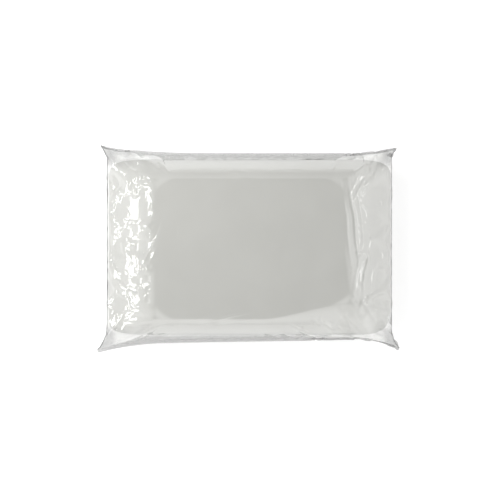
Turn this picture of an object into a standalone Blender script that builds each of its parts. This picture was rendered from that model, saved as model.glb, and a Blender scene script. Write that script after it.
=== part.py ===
"""A memory-foam bed pillow in a zipped knit cover, sealed in a clear film bag.

Metres, +Z up. The pillow lies flat on the floor with its long side along X and its zip in the
front (-Y) side. The origin is on the floor, under the middle of the bag.

The pillow has a flat top and bottom with sloping shoulders. Its corners in plan and its shoulders
in section are quarter superellipses, and every layer (cover, liner, foam, film) is the same shape
made a little larger or smaller, so neighbouring layers keep one gap all over.
"""

import math

import bmesh
import bpy

# Pillow, over its cover
PILLOW_LENGTH = 0.610
PILLOW_WIDTH = 0.381
PILLOW_HEIGHT = 0.120
SHOULDER_ALONG = 0.105  # from each end of the pillow to its flat top
SHOULDER_ACROSS = 0.045  # from each long side to its flat top
CORNER_POWER = 3.5  # of the corners in plan: 2 is a quarter ellipse, and more is squarer
SECTION_POWER = 1.5  # of the shoulders in section: 2 is a quarter ellipse, and 1 a straight slope

# Walls and clearances
TOUCH_GAP = 0.0003  # between two pieces that touch
COVER_WALL = 0.0012
LINER_WALL = 0.0006
FILM_WALL = 0.0004

# Film bag: how far its edges and its four corner ears stand out from the pillow
BAG_SIDE_REACH = 0.0013
BAG_FRONT_REACH = 0.009
EAR_REACH_ALONG = 0.017
EAR_REACH_ACROSS = 0.0265
EAR_SHARPNESS = 4  # power of the curve from a straight edge out to an ear
HEAT_SEAL_WIDTH = 0.0055
SIDE_WELD_WIDTH = 0.0013

# Zip
ZIP_TO_END = 0.075  # from the pillow's end to the end of the zip's window in the cover
ZIP_TAPE_CLEARANCE = 0.00083  # from the tape's far edge out to the curve of the cover's inside
ZIP_TAPE_HEIGHT = 0.0074
ZIP_TAPE_WALL = 0.0008
ZIP_TAPE_TO_MIDDLE = 0.0016
ZIP_TAPE_END_MARGIN = 0.001
COIL_TO_MIDDLE = 0.0008
COIL_HEIGHT = 0.0021
COIL_TOOTH = 0.0007
COIL_PITCH = 0.006
COIL_THICKNESS = 0.0020
STOP_LENGTH = 0.0025
STOP_HEIGHT = 0.0070
STOP_TO_END = 0.0015

# Zip slider and its pull tab
SLIDER_LENGTH = 0.011
SLIDER_CHAMFER = 0.0015
SLIDER_PLATE = 0.0009
SLIDER_FLANGE = 0.0009
SLIDER_NECK_LENGTH = 0.0026
SLIDER_NECK_HEIGHT = 0.0010
SLIDER_CLEARANCE = 0.0004  # to the coils and tapes, and to the stop at each end
WINDOW_CLEARANCE = 0.0008  # between the slider and the cover's edge above and below it
BRIDGE_LENGTH = 0.006
BRIDGE_HEIGHT = 0.0020
BRIDGE_WIDTH = 0.0020
BRIDGE_WALL = 0.0010
TAB_LENGTH = 0.020
TAB_WIDTH = 0.006
TAB_WALL = 0.0012
TAB_EYE_LENGTH = 0.0024
TAB_EYE_CLEARANCE = 0.0004
TAB_HOLE_RADIUS = 0.0012
TAB_PIVOT_OFFSET = -0.001  # of the tab's crossbar from the middle of the slider
JOIN = 0.0002  # overlap between shapes that are joined into one solid

# Care label in the rear seam, a plain folded tape
LABEL_MIDDLE = 0.140
LABEL_LENGTH = 0.040
LABEL_WALL = 0.0003
LABEL_DROP = 2.3  # in steps of the shoulder's curve

# How finely curves are divided
CORNER_STEPS = 8
SHOULDER_STEPS = 8
TAB_END_STEPS = 6
HOLE_STEPS = 10


def shoulder_out(rise, reach_out, reach_up):
    """How far a shoulder stands out from the edge of the flat top, at a rise above the seam."""
    return reach_out * (1 - (rise / reach_up) ** SECTION_POWER) ** (1 / SECTION_POWER)


# Worked out from the sizes above
FLAT_X = PILLOW_LENGTH / 2 - SHOULDER_ALONG
FLAT_Y = PILLOW_WIDTH / 2 - SHOULDER_ACROSS
MIDDLE_Z = PILLOW_HEIGHT / 2 + TOUCH_GAP + FILM_WALL
BAG_SIDE = PILLOW_LENGTH / 2 + BAG_SIDE_REACH
BAG_FRONT = PILLOW_WIDTH / 2 + BAG_FRONT_REACH
EAR_X = PILLOW_LENGTH / 2 + EAR_REACH_ALONG
EAR_Y = PILLOW_WIDTH / 2 + EAR_REACH_ACROSS
WINDOW_END = PILLOW_LENGTH / 2 - ZIP_TO_END
STOP_OUTER = WINDOW_END - STOP_TO_END
STOP_INNER = STOP_OUTER - STOP_LENGTH
COVER_INSIDE = FLAT_Y + shoulder_out(
    ZIP_TAPE_TO_MIDDLE + ZIP_TAPE_HEIGHT, SHOULDER_ACROSS - COVER_WALL, PILLOW_HEIGHT / 2 - COVER_WALL
)
TAPE_FACE = COVER_INSIDE - ZIP_TAPE_CLEARANCE  # this and the next are distances out from the X axis
TAPE_BACK = TAPE_FACE - ZIP_TAPE_WALL
COIL_BACK = TAPE_FACE + TOUCH_GAP
COIL_FACE = COIL_BACK + COIL_THICKNESS
SLIDER_BACK = TAPE_BACK - TOUCH_GAP - SLIDER_PLATE
SLIDER_FACE = COIL_FACE + TOUCH_GAP + SLIDER_PLATE
SLIDER_HALF_HEIGHT = COIL_TO_MIDDLE + COIL_HEIGHT + SLIDER_CLEARANCE + SLIDER_FLANGE
SLIDER_X = STOP_INNER - SLIDER_CLEARANCE - SLIDER_LENGTH / 2
TAB_PIVOT_FACE = SLIDER_FACE + BRIDGE_HEIGHT / 2
LINER_SIDE_INSET = PILLOW_WIDTH / 2 - SLIDER_BACK + TOUCH_GAP
LINER_FACE_INSET = COVER_WALL + TOUCH_GAP

QUARTER_TURN = math.pi / 2
FABRIC = (0.84, 0.84, 0.82)
ZIP_WHITE = (0.88, 0.88, 0.86)
CLEAR_FILM = (0.90, 0.91, 0.91)


def clear_scene():
    """Remove everything from the scene."""
    for found in list(bpy.data.objects):
        bpy.data.objects.remove(found, do_unlink=True)


def finish(piece, colour, roughness, metallic=0.0, alpha=1.0):
    """Give a piece its own material."""
    material = bpy.data.materials.new(piece.name + "_material")
    material.use_nodes = True
    shader = material.node_tree.nodes["Principled BSDF"]
    shader.inputs["Base Color"].default_value = (*colour, 1.0)
    shader.inputs["Roughness"].default_value = roughness
    shader.inputs["Metallic"].default_value = metallic
    shader.inputs["Alpha"].default_value = alpha
    piece.data.materials.append(material)


def add_object(name, shape):
    """Turn a bmesh into an object of the scene, with its faces pointing out."""
    bmesh.ops.recalc_face_normals(shape, faces=shape.faces)
    mesh = bpy.data.meshes.new(name)
    shape.to_mesh(mesh)
    shape.free()
    piece = bpy.data.objects.new(name, mesh)
    bpy.context.scene.collection.objects.link(piece)
    return piece


def bridge_loops(shape, first, second):
    """Join two loops of as many vertices with a band of faces."""
    for at in range(len(first)):
        following = (at + 1) % len(first)
        shape.faces.new((first[at], first[following], second[following], second[at]))


def add_loop(shape, points):
    """Add a loop of vertices."""
    return [shape.verts.new(point) for point in points]


def prism(name, outline, low, high, axis):
    """A solid with this outline in the two other axes, from low to high along axis 0, 1 or 2."""
    shape = bmesh.new()
    ends = []
    for level in (low, high):
        points = [[*corner[:axis], level, *corner[axis:]] for corner in outline]
        ends.append(add_loop(shape, points))
        shape.faces.new(ends[-1])
    bridge_loops(shape, *ends)
    return add_object(name, shape)


def rectangle(low_a, high_a, low_b, high_b):
    """The corners of a rectangle, in order."""
    return [(low_a, low_b), (high_a, low_b), (high_a, high_b), (low_a, high_b)]


def box(name, low, high):
    """A box between two corners."""
    return prism(name, rectangle(low[0], high[0], low[1], high[1]), low[2], high[2], 2)


def combine(piece, helper, operation):
    """Join a helper solid to a piece, or cut it from the piece, and hide the helper."""
    modifier = piece.modifiers.new(helper.name, "BOOLEAN")
    modifier.operation = operation
    modifier.solver = "EXACT"
    modifier.object = helper
    helper.hide_render = True
    helper.display_type = "WIRE"


# Layers of the pillow


def plan_columns():
    """Each column of a ring, anticlockwise from +X: its signs, its shares in X and Y, and its
    place in its corner from 0 at the pillow's end to 1 at its long side."""
    columns = []
    for turn in range(4):
        for step in range(CORNER_STEPS + 1):
            share = step / CORNER_STEPS
            angle = QUARTER_TURN * (turn + share)
            columns.append(
                (
                    1 if turn in (0, 3) else -1,
                    1 if turn in (0, 1) else -1,
                    abs(math.cos(angle)) ** (2 / CORNER_POWER),
                    abs(math.sin(angle)) ** (2 / CORNER_POWER),
                    share if turn % 2 == 0 else 1 - share,
                )
            )
    return columns


def layer_reach(side_inset, face_inset):
    """How far a layer reaches from the edge of the flat top, along, across and up."""
    return (
        SHOULDER_ALONG - side_inset,
        SHOULDER_ACROSS - side_inset,
        PILLOW_HEIGHT / 2 - face_inset,
    )


def section(slope):
    """Shares of a shoulder's reach, out and up, where slope runs from 0 at the seam to a quarter
    turn at the flat face."""
    power = 2 / SECTION_POWER
    return abs(math.cos(slope)) ** power, abs(math.sin(slope)) ** power


def layer_ring(reach, slope, side):
    """One level ring of a layer, at a slope of its section. Side is 1 above the seam, -1 below."""
    out, up = section(slope)
    rise = max(reach[2] * up, TOUCH_GAP / 2)
    return [
        (
            sign_x * (FLAT_X + reach[0] * out * share_x),
            sign_y * (FLAT_Y + reach[1] * out * share_y),
            MIDDLE_Z + side * rise,
        )
        for sign_x, sign_y, share_x, share_y, _ in plan_columns()
    ]


def shoulder_slopes():
    """The slope of each ring, from the seam to the flat face."""
    return [QUARTER_TURN * step / SHOULDER_STEPS for step in range(SHOULDER_STEPS + 1)]


def dish(name, outer_rings, inner_rings):
    """A thin shell, open at the seam and closed over the flat face."""
    shape = bmesh.new()
    outer = [add_loop(shape, ring) for ring in outer_rings]
    inner = [add_loop(shape, ring) for ring in inner_rings]
    for wall in (outer, inner):
        for lower, upper in zip(wall, wall[1:]):
            bridge_loops(shape, lower, upper)
        shape.faces.new(wall[-1])
    bridge_loops(shape, outer[0], inner[0])
    return add_object(name, shape)


def panel(name, side, side_inset, face_inset, wall):
    """Half of a fabric layer, above or below the seam."""
    rings = [
        [layer_ring(layer_reach(side_inset + depth, face_inset + depth), slope, side)
         for slope in shoulder_slopes()]
        for depth in (0, wall)
    ]
    return dish(name, *rings)


def foam_core():
    """The solid foam block inside the liner."""
    inset = LINER_WALL + TOUCH_GAP
    reach = layer_reach(LINER_SIDE_INSET + inset, LINER_FACE_INSET + inset)
    shape = bmesh.new()
    rings = [layer_ring(reach, slope, -1) for slope in reversed(shoulder_slopes())]
    rings += [layer_ring(reach, slope, 1) for slope in shoulder_slopes()]
    loops = [add_loop(shape, ring) for ring in rings]
    for lower, upper in zip(loops, loops[1:]):
        bridge_loops(shape, lower, upper)
    shape.faces.new(loops[0])
    shape.faces.new(loops[-1])
    return add_object("foam_core", shape)


# Film bag


def bag_edge(share):
    """The bag's edge in one corner: a straight side, an ear that flares out, a straight front."""
    if share <= 0.5:
        along = 2 * share
        x = BAG_SIDE + (EAR_X - BAG_SIDE) * along**EAR_SHARPNESS
        return x, FLAT_Y + (EAR_Y - FLAT_Y) * along
    along = 2 * (1 - share)
    y = BAG_FRONT + (EAR_Y - BAG_FRONT) * along**EAR_SHARPNESS
    return FLAT_X + (EAR_X - FLAT_X) * along, y


def film_leaving_slope(reach, share_x, share_y, edge):
    """The slope at which film stretched to the edge leaves the pillow, as a tangent."""
    power = CORNER_POWER - 1
    support = share_x**power * (edge[0] - FLAT_X) / reach[0]
    support += share_y**power * (edge[1] - FLAT_Y) / reach[1]
    return math.acos(max(support, 1.0) ** (-SECTION_POWER / (2 * SECTION_POWER - 2)))


def film_rings(depth, side):
    """Rings of one face of a film web. Depth is how far out of the pillow the face lies."""
    reach = layer_reach(-depth, -depth)
    edge_rise = depth - TOUCH_GAP / 2
    columns = plan_columns()
    leaving = [
        film_leaving_slope(reach, column[2], column[3], bag_edge(column[4])) for column in columns
    ]
    rings = []
    for slope in shoulder_slopes():
        ring = []
        for column, leave in zip(columns, leaving):
            sign_x, sign_y, share_x, share_y, share = column
            edge = bag_edge(share)
            out = 1 - slope / leave if slope < leave else 0.0
            touch_out, touch_up = section(max(slope, leave))
            x = FLAT_X + reach[0] * touch_out * share_x
            y = FLAT_Y + reach[1] * touch_out * share_y
            z = reach[2] * touch_up
            ring.append(
                (
                    sign_x * (x + (edge[0] - x) * out),
                    sign_y * (y + (edge[1] - y) * out),
                    MIDDLE_Z + side * (z + (edge_rise - z) * out),
                )
            )
        rings.append(ring)
    return rings


def bag_film(name, side):
    """The upper or the lower web of the film bag."""
    return dish(name, film_rings(TOUCH_GAP + FILM_WALL, side), film_rings(TOUCH_GAP, side))


def edge_strip(name, axis, side, width):
    """A seal or a weld: the strip where the two webs are joined, outside one edge of the bag.
    Axis 0 is a side edge, axis 1 the front or the rear one. It runs from ear to ear."""
    corner = [bag_edge(step / CORNER_STEPS) for step in range(CORNER_STEPS + 1)]
    tip = CORNER_STEPS // 2
    near = corner[tip:] if axis else corner[tip::-1]
    far = [(-x, y) if axis else (x, -y) for x, y in reversed(near)]
    inner = [moved_out(point, axis, TOUCH_GAP, side) for point in near + far]
    outer = [moved_out(point, axis, TOUCH_GAP + width, side) for point in near + far]
    rise = FILM_WALL + TOUCH_GAP / 2
    return prism(name, inner + outer[::-1], MIDDLE_Z - rise, MIDDLE_Z + rise, 2)


def moved_out(point, axis, distance, side):
    """A point of the bag's edge moved straight out, on the side asked for."""
    moved = list(point)
    moved[axis] = side * (moved[axis] + distance)
    return tuple(moved)


# Zip


def zip_tape(name, side):
    """One of the two tapes, behind the edge of its cover panel."""
    end = WINDOW_END - ZIP_TAPE_END_MARGIN
    levels = sorted(
        MIDDLE_Z + side * distance
        for distance in (ZIP_TAPE_TO_MIDDLE, ZIP_TAPE_TO_MIDDLE + ZIP_TAPE_HEIGHT)
    )
    return box(name, (-end, -TAPE_FACE, levels[0]), (end, -TAPE_BACK, levels[1]))


def zip_coil(name, side):
    """One row of the chain. Its teeth stand half a pitch from the other row's."""
    end = STOP_INNER - TOUCH_GAP
    back = COIL_TO_MIDDLE + COIL_HEIGHT
    root = COIL_TO_MIDDLE + COIL_TOOTH
    outline = [(end, back), (-end, back)]
    count = int((2 * end - COIL_PITCH) // COIL_PITCH)
    start = -count * COIL_PITCH / 2 + (COIL_PITCH / 2 if side > 0 else 0)
    outline.append((-end, root))
    for tooth in range(count):
        left = start + tooth * COIL_PITCH
        right = left + COIL_PITCH / 2
        outline += [(left, root), (left, COIL_TO_MIDDLE), (right, COIL_TO_MIDDLE), (right, root)]
    outline.append((end, root))
    placed = [(x, MIDDLE_Z + side * z) for x, z in outline]
    return prism(name, placed, -COIL_FACE, -COIL_BACK, 1)


def zip_stop(name, side):
    """The sewn bar that closes one end of the chain."""
    ends = sorted((side * STOP_INNER, side * STOP_OUTER))
    half = STOP_HEIGHT / 2
    return box(
        name, (ends[0], -COIL_FACE, MIDDLE_Z - half), (ends[1], -COIL_BACK, MIDDLE_Z + half)
    )


def blade(name, low, high):
    """One flat blade of the slider, with its corners cut, between two distances out."""
    half = SLIDER_LENGTH / 2
    run = half - SLIDER_CHAMFER
    drop = SLIDER_HALF_HEIGHT - SLIDER_CHAMFER
    quarter = [(half, drop), (run, SLIDER_HALF_HEIGHT)]
    upper = quarter + [(-x, z) for x, z in reversed(quarter)]
    outline = upper + [(x, -z) for x, z in reversed(upper)]
    return prism(name, outline, SLIDER_FACE - high, SLIDER_FACE - low, 1)


def bridge_outline():
    """The arch that holds the pull tab, seen from above: posts at both ends of a bar."""
    half = BRIDGE_LENGTH / 2
    top = -(BRIDGE_HEIGHT + BRIDGE_WALL)
    inner = half - BRIDGE_WALL
    return [
        (-half, JOIN),
        (-half, top),
        (half, top),
        (half, JOIN),
        (inner, JOIN),
        (inner, -BRIDGE_HEIGHT),
        (-inner, -BRIDGE_HEIGHT),
        (-inner, JOIN),
    ]


def zip_slider():
    """The slider: two blades joined by a neck, with side flanges and a bridge for the tab.
    Its own origin is on its face, at the middle of the chain."""
    slider = blade("zip_slider", SLIDER_FACE - SLIDER_PLATE, SLIDER_FACE)
    run = SLIDER_LENGTH / 2 - SLIDER_CHAMFER
    neck = SLIDER_NECK_HEIGHT / 2
    back = SLIDER_FACE - SLIDER_BACK - JOIN
    helpers = [
        blade("slider_back_blade", SLIDER_BACK, SLIDER_BACK + SLIDER_PLATE),
        box("slider_neck", (run - SLIDER_NECK_LENGTH, JOIN, -neck), (run, back, neck)),
        prism("slider_bridge", bridge_outline(), -BRIDGE_WIDTH / 2, BRIDGE_WIDTH / 2, 2),
    ]
    inside = SLIDER_HALF_HEIGHT - SLIDER_FLANGE
    flange_end = SLIDER_FACE - TAPE_FACE - SLIDER_CLEARANCE
    for side, where in ((-1, "lower"), (1, "upper")):
        levels = sorted((side * inside, side * SLIDER_HALF_HEIGHT))
        flange = box(f"slider_flange_{where}", (-run, JOIN, levels[0]), (run, flange_end, levels[1]))
        helpers.append(flange)
    slider.location = (SLIDER_X, -SLIDER_FACE, MIDDLE_Z)
    for helper in helpers:
        helper.parent = slider
        combine(slider, helper, "UNION")
    return slider


def tab_outline():
    """The pull tab's outline: square at the crossbar, round at the far end."""
    half = TAB_WIDTH / 2
    crossbar = TAB_WALL / 2
    centre = half - TAB_LENGTH
    points = [(crossbar, -half), (crossbar, half)]
    for step in range(TAB_END_STEPS + 1):
        angle = QUARTER_TURN + math.pi * step / TAB_END_STEPS
        points.append((centre + half * math.cos(angle), half * math.sin(angle)))
    return points


def zip_pull_tab(slider):
    """The pull tab, which lies along the closed chain and swings about its crossbar.
    Its own origin is on the crossbar's middle line."""
    tab = prism("zip_pull_tab", tab_outline(), -TAB_WALL / 2, TAB_WALL / 2, 1)
    eye_half = BRIDGE_WIDTH / 2 + TAB_EYE_CLEARANCE
    eye_end = -TAB_WALL / 2
    eye = box(
        "tab_eye", (eye_end - TAB_EYE_LENGTH, -TAB_WALL, -eye_half), (eye_end, TAB_WALL, eye_half)
    )
    centre = TAB_WIDTH / 2 - TAB_LENGTH
    turns = [2 * math.pi * step / HOLE_STEPS for step in range(HOLE_STEPS)]
    hole_outline = [
        (centre + TAB_HOLE_RADIUS * math.cos(turn), TAB_HOLE_RADIUS * math.sin(turn))
        for turn in turns
    ]
    hole = prism("tab_hole", hole_outline, -TAB_WALL, TAB_WALL, 1)
    tab.parent = slider
    tab.location = (TAB_PIVOT_OFFSET, SLIDER_FACE - TAB_PIVOT_FACE, 0)
    for helper in (eye, hole):
        helper.parent = tab
        combine(tab, helper, "DIFFERENCE")
    return tab


def cover_panels():
    """The two halves of the knit cover, with the zip's window cut from the front seam."""
    half = SLIDER_HALF_HEIGHT + WINDOW_CLEARANCE
    cutter = box(
        "zip_window",
        (-WINDOW_END, -PILLOW_WIDTH, MIDDLE_Z - half),
        (WINDOW_END, -TAPE_FACE, MIDDLE_Z + half),
    )
    panels = [
        panel("cover_top_panel", 1, 0, 0, COVER_WALL),
        panel("cover_bottom_panel", -1, 0, 0, COVER_WALL),
    ]
    for piece in panels:
        combine(piece, cutter, "DIFFERENCE")
    return panels


def care_label():
    """A folded tape sewn in the rear seam, lying down the side of the lower panel."""
    slope_step = QUARTER_TURN / SHOULDER_STEPS
    walls = []
    for depth in (TOUCH_GAP, TOUCH_GAP + LABEL_WALL):
        _, across, up = layer_reach(-depth, -depth)
        points = []
        for steps in (0, 1, 2, LABEL_DROP):
            share_out, share_up = section(steps * slope_step)
            rise = max(up * share_up, TOUCH_GAP)
            points.append((FLAT_Y + across * share_out, MIDDLE_Z - rise))
        walls.append(points)
    outline = walls[0] + walls[1][::-1]
    ends = (LABEL_MIDDLE - LABEL_LENGTH / 2, LABEL_MIDDLE + LABEL_LENGTH / 2)
    return prism("care_label", outline, *ends, 0)


def build():
    """Build every piece, and give each its material."""
    clear_scene()
    finish(foam_core(), (0.88, 0.85, 0.74), 0.95)
    for side, where in ((1, "top"), (-1, "bottom")):
        liner = panel(f"liner_{where}", side, LINER_SIDE_INSET, LINER_FACE_INSET, LINER_WALL)
        finish(liner, (0.90, 0.90, 0.88), 0.9)
        finish(bag_film(f"bag_{where}_film", side), CLEAR_FILM, 0.08, alpha=0.3)
    for piece in cover_panels():
        finish(piece, FABRIC, 0.85)
    for side, where in ((1, "upper"), (-1, "lower")):
        finish(zip_tape(f"zip_tape_{where}", side), ZIP_WHITE, 0.8)
        finish(zip_coil(f"zip_coil_{where}", side), ZIP_WHITE, 0.4)
    for side, where in ((-1, "left"), (1, "right")):
        finish(zip_stop(f"zip_stop_{where}", side), ZIP_WHITE, 0.7)
        weld = edge_strip(f"{where}_side_weld", 0, side, SIDE_WELD_WIDTH)
        finish(weld, CLEAR_FILM, 0.15, alpha=0.5)
    for side, where in ((-1, "front"), (1, "rear")):
        seal = edge_strip(f"{where}_heat_seal", 1, side, HEAT_SEAL_WIDTH)
        finish(seal, CLEAR_FILM, 0.15, alpha=0.5)
    slider = zip_slider()
    finish(slider, (0.80, 0.80, 0.79), 0.35, metallic=0.6)
    finish(zip_pull_tab(slider), (0.80, 0.80, 0.79), 0.35, metallic=0.6)
    finish(care_label(), (0.93, 0.93, 0.92), 0.7)


build()
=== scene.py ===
"""The looks of a memory-foam bed pillow in a zipped knit cover, sealed in a clear film bag.

Metres, +Z up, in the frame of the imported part. The film is a flat pouch that is relaxed over the
pillow by a small position solver, the knit cover is relaxed as cloth, and everything that repeats
(stitches, the crimp of the heat seals, the zip's coils) is made by Geometry Nodes.
"""

import logging
import math
from dataclasses import dataclass, field
from enum import Enum
from typing import ClassVar

import bmesh
import bpy
import numpy as np
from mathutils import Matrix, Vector


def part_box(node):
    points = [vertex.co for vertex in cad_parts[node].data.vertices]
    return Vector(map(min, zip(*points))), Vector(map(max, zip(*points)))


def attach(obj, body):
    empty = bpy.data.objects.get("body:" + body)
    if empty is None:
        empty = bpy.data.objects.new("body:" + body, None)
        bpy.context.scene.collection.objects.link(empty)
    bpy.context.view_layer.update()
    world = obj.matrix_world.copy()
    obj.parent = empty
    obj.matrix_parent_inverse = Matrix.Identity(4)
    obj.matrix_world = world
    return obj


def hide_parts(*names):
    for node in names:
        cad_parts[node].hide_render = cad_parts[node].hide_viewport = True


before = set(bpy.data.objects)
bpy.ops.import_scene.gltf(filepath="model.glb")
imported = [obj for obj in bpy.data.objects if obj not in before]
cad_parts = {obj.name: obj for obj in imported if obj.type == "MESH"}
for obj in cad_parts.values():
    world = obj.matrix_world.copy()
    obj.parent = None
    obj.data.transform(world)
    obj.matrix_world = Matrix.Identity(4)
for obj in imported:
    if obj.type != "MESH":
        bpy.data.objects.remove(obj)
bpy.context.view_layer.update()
LOG = logging.getLogger("pillow")

Array = np.ndarray
Colour = tuple[float, float, float]

BODY = "pillow"
SLIDER_BODY = "slider"
TAB_BODY = "pull_tab"
FLAT_MAP = "flat"  # the UV map that holds a cloth's place in its flat cut, in metres
TOUCH_GAP = 0.0003
SETTLING_ROUNDS = 6  # of working out points whose shoulder's width depends on where they are
LIP_HALF_HEIGHT = 0.0050
LIP_PAST_TAPE = 0.001


def ramp(value: Array | float) -> Array | float:
    """A smooth step from 0 to 1 as value goes from 0 to 1."""
    share = np.clip(value, 0.0, 1.0)
    return share * share * (3 - 2 * share)


def doubled(values: Array, axis: int) -> Array:
    """Insert a point halfway between each two neighbours along an axis, on a smooth curve.

    Args:
        values: Any array of at least four points along that axis.
        axis: The axis to refine.

    Returns:
        The array with 2n - 1 points along that axis.
    """
    values = np.moveaxis(values, axis, 0)
    between = np.empty((len(values) - 1, *values.shape[1:]))
    between[1:-1] = (9 * (values[1:-2] + values[2:-1]) - values[:-3] - values[3:]) / 16
    between[0] = (values[0] + values[1]) / 2
    between[-1] = (values[-2] + values[-1]) / 2
    refined = np.empty((2 * len(values) - 1, *values.shape[1:]))
    refined[::2] = values
    refined[1::2] = between
    return np.moveaxis(refined, 0, axis)


def lattice_noise(u: Array, v: Array, cell: float, seed: int) -> Array:
    """Smooth random values with about one swing per cell.

    Args:
        u: First coordinates, in metres.
        v: Second coordinates, in metres.
        cell: Size of a cell of the random lattice, in metres.
        seed: Seed of the lattice.

    Returns:
        Values of about -2 to 2, in the shape of u and v.
    """
    columns, rows = u / cell, v / cell
    columns, rows = columns - columns.min() + 1, rows - rows.min() + 1
    random = np.random.default_rng(seed)
    lattice = random.standard_normal((int(rows.max()) + 3, int(columns.max()) + 3))
    column, row = columns.astype(int), rows.astype(int)
    across, up = ramp(columns - column), ramp(rows - row)
    low = lattice[row, column] * (1 - across) + lattice[row, column + 1] * across
    high = lattice[row + 1, column] * (1 - across) + lattice[row + 1, column + 1] * across
    return low * (1 - up) + high * up


# Meshes


def grid_quads(rows: int, columns: int, flip: bool = False) -> Array:
    """The faces of a grid of points that are numbered row by row.

    Args:
        rows: How many rows of points.
        columns: How many points in a row.
        flip: Turn the faces round.

    Returns:
        One row of four point numbers for each face.
    """
    first = (np.arange(rows - 1)[:, None] * columns + np.arange(columns - 1)).ravel()
    quads = np.stack([first, first + 1, first + columns + 1, first + columns], axis=1)
    return quads[:, ::-1] if flip else quads


def placed(name: str, data: bpy.types.ID | None) -> bpy.types.Object:
    """A new object in the scene that shows this mesh, light or camera."""
    made = bpy.data.objects.new(name, data)
    bpy.context.scene.collection.objects.link(made)
    return made


def unit(vectors: Array) -> Array:
    """The vectors along the last axis, at a length of 1."""
    return vectors / (np.linalg.norm(vectors, axis=-1, keepdims=True) + 1e-12)


def mesh_piece(name: str, points: Array, quads: Array, flats: Array | None = None) -> bpy.types.Object:
    """Make an object from points and four-sided faces, shaded smooth.

    Args:
        name: The piece's name.
        points: Places of the points, in metres.
        quads: Four point numbers for each face.
        flats: Each point's place in the flat cut, for the UV map.

    Returns:
        The object, in the scene.
    """
    mesh = bpy.data.meshes.new(name)
    mesh.vertices.add(len(points))
    mesh.vertices.foreach_set("co", np.ascontiguousarray(points, np.float32).ravel())
    mesh.loops.add(quads.size)
    mesh.loops.foreach_set("vertex_index", np.ascontiguousarray(quads, np.int32).ravel())
    mesh.polygons.add(len(quads))
    mesh.polygons.foreach_set("loop_start", np.arange(0, quads.size, 4, dtype=np.int32))
    mesh.update(calc_edges=True)
    if flats is not None:
        layer = mesh.uv_layers.new(name=FLAT_MAP)
        layer.data.foreach_set("uv", np.ascontiguousarray(flats[quads.ravel()], np.float32).ravel())
    mesh.validate()
    mesh.shade_smooth()
    return placed(name, mesh)


def cloth_piece(name: str, points: Array, flats: Array, flip: bool = False) -> bpy.types.Object:
    """One layer of cloth from a grid of points, with the map of its flat cut.

    Args:
        name: The piece's name.
        points: The grid of points.
        flats: Each point's place in the flat cut.
        flip: Turn the faces round.

    Returns:
        The object, in the scene.
    """
    quads = grid_quads(*points.shape[:2], flip)
    return mesh_piece(name, points.reshape(-1, 3), quads, flats.reshape(-1, 2))


def face_out(piece: bpy.types.Object, merge: float = 0.0) -> None:
    """Turn a piece's faces outward, once points nearer to each other than merge are made one."""
    shape = bmesh.new()
    shape.from_mesh(piece.data)
    if merge:
        bmesh.ops.remove_doubles(shape, verts=shape.verts, dist=merge)
    bmesh.ops.recalc_face_normals(shape, faces=shape.faces)
    shape.to_mesh(piece.data)
    shape.free()


def closed_strip(name: str, lines: list[Array], flats: Array | None = None) -> bpy.types.Object:
    """Make a closed tube or bar whose section's corners follow these lines.

    Args:
        name: The piece's name.
        lines: One line of points for each corner of the section, in order round it.
        flats: Place of each point of a line in the flat cut.

    Returns:
        The object, with its faces pointing out and both ends closed.
    """
    count, sides = len(lines[0]), len(lines)
    points = np.stack(lines, axis=1).reshape(-1, 3)
    first = (np.arange(count - 1)[:, None] * sides + np.arange(sides)).ravel()
    second = (np.arange(count - 1)[:, None] * sides + (np.arange(sides) + 1) % sides).ravel()
    quads = np.stack([first, second, second + sides, first + sides], axis=1)
    spread = None if flats is None else np.repeat(flats, sides, axis=0)
    piece = mesh_piece(name, points, quads, spread)
    shape = bmesh.new()
    shape.from_mesh(piece.data)
    shape.verts.ensure_lookup_table()
    shape.faces.new([shape.verts[side] for side in range(sides)])
    shape.faces.new([shape.verts[(count - 1) * sides + side] for side in range(sides)])
    bmesh.ops.recalc_face_normals(shape, faces=shape.faces)
    shape.to_mesh(piece.data)
    shape.free()
    return piece


def evaluated_copy(source: bpy.types.Object, name: str) -> bpy.types.Object:
    """Turn an object with modifiers into a plain mesh piece, and remove the object.

    Args:
        source: The object that carries the modifiers.
        name: Name of the new piece.

    Returns:
        The plain piece, with no modifier.
    """
    graph = bpy.context.evaluated_depsgraph_get()
    graph.update()
    mesh = bpy.data.meshes.new_from_object(source.evaluated_get(graph))
    bpy.data.objects.remove(source, do_unlink=True)
    mesh.name = name
    return placed(name, mesh)


def walled_copy(cloth: bpy.types.Object, name: str, wall: float, offset: float = -1.0) -> bpy.types.Object:
    """Give a cloth its thickness.

    Args:
        cloth: The single layer, which is removed.
        name: Name of the new piece.
        wall: The thickness, in metres.
        offset: -1 for a wall that lies under the layer, 0 for one that lies on both sides.

    Returns:
        The plain piece, with no modifier.
    """
    solid = cloth.modifiers.new("wall", "SOLIDIFY")
    solid.thickness = wall
    solid.offset = offset
    return evaluated_copy(cloth, name)


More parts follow.
